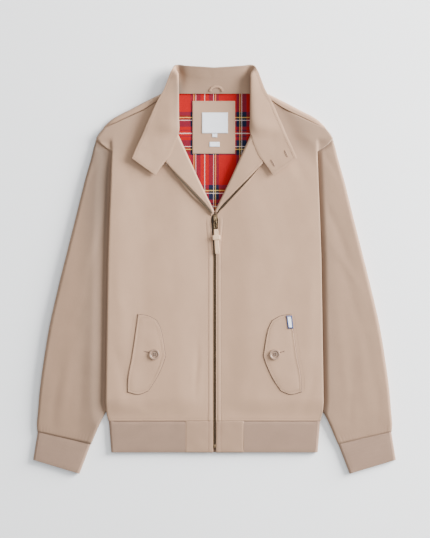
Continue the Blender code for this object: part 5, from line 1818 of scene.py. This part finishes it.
class JACKET_OT_labels(bpy.types.Operator):
    """Builds the neck patch and its blank woven labels"""
    bl_idname = "jacket.labels"
    bl_label = "Neck Labels"

    def execute(self, context):
        cloths = {"label_patch": finish_of("twill"), "neck_label": finish_of("label_neck"),
                  "size_tab": finish_of("label_size"), "small_tab": finish_of("label_small")}
        make_labels(cloths, *finishes("thread", "thread_white"))
        return {"FINISHED"}


class JACKET_OT_buttons(bpy.types.Operator):
    """Builds the four-hole buttons and their threads"""
    bl_idname = "jacket.buttons"
    bl_label = "Buttons"

    def execute(self, context):
        make_buttons(*finishes("button", "thread_dark"))
        return {"FINISHED"}


class JACKET_OT_zip(bpy.types.Operator):
    """Builds the zip's tapes, teeth, end box and slider, and the pull"""
    bl_idname = "jacket.zip"
    bl_label = "Zip"

    def execute(self, context):
        make_zip(*finishes("brass", "tape"))
        make_slider(finish_of("brass"))
        make_pull(*finishes("twill_strap", "thread", "brass"))
        return {"FINISHED"}


class JACKET_OT_stage(bpy.types.Operator):
    """Builds the floor, the lights and the camera"""
    bl_idname = "jacket.stage"
    bl_label = "Stage"

    def execute(self, context):
        make_stage(context.scene.jacket_stage)
        return {"FINISHED"}


OPERATORS = (JACKET_OT_back, JACKET_OT_fronts, JACKET_OT_sleeves, JACKET_OT_knit, JACKET_OT_pockets,
             JACKET_OT_collar, JACKET_OT_labels, JACKET_OT_buttons, JACKET_OT_zip, JACKET_OT_stage)


class JACKET_PT_panel(bpy.types.Panel):
    """Lists the jacket's settings and the operators that build it"""
    bl_label = "Harrington Jacket"
    bl_idname = "JACKET_PT_panel"
    bl_space_type = "VIEW_3D"
    bl_region_type = "UI"
    bl_category = "Jacket"

    def draw(self, context):
        column = self.layout.column()
        for group in (context.scene.jacket_finish, context.scene.jacket_stage):
            for name in group.__annotations__:
                column.prop(group, name)
        for operator in OPERATORS:
            column.operator(operator.bl_idname)


CLASSES = (JacketFinish, JacketStage, *OPERATORS, JACKET_PT_panel)


def register():
    """Makes the settings, operators and panel known."""
    for each in CLASSES:
        bpy.utils.register_class(each)
    bpy.types.Scene.jacket_finish = PointerProperty(type=JacketFinish)
    bpy.types.Scene.jacket_stage = PointerProperty(type=JacketStage)


def unregister():
    """Takes them away again."""
    del bpy.types.Scene.jacket_stage
    del bpy.types.Scene.jacket_finish
    for each in reversed(CLASSES):
        bpy.utils.unregister_class(each)


def main():
    """Builds everything by its operators."""
    register()
    for operator in OPERATORS:
        group, name = operator.bl_idname.split(".")
        getattr(getattr(bpy.ops, group), name)()


if __name__ == "__main__":
    main()
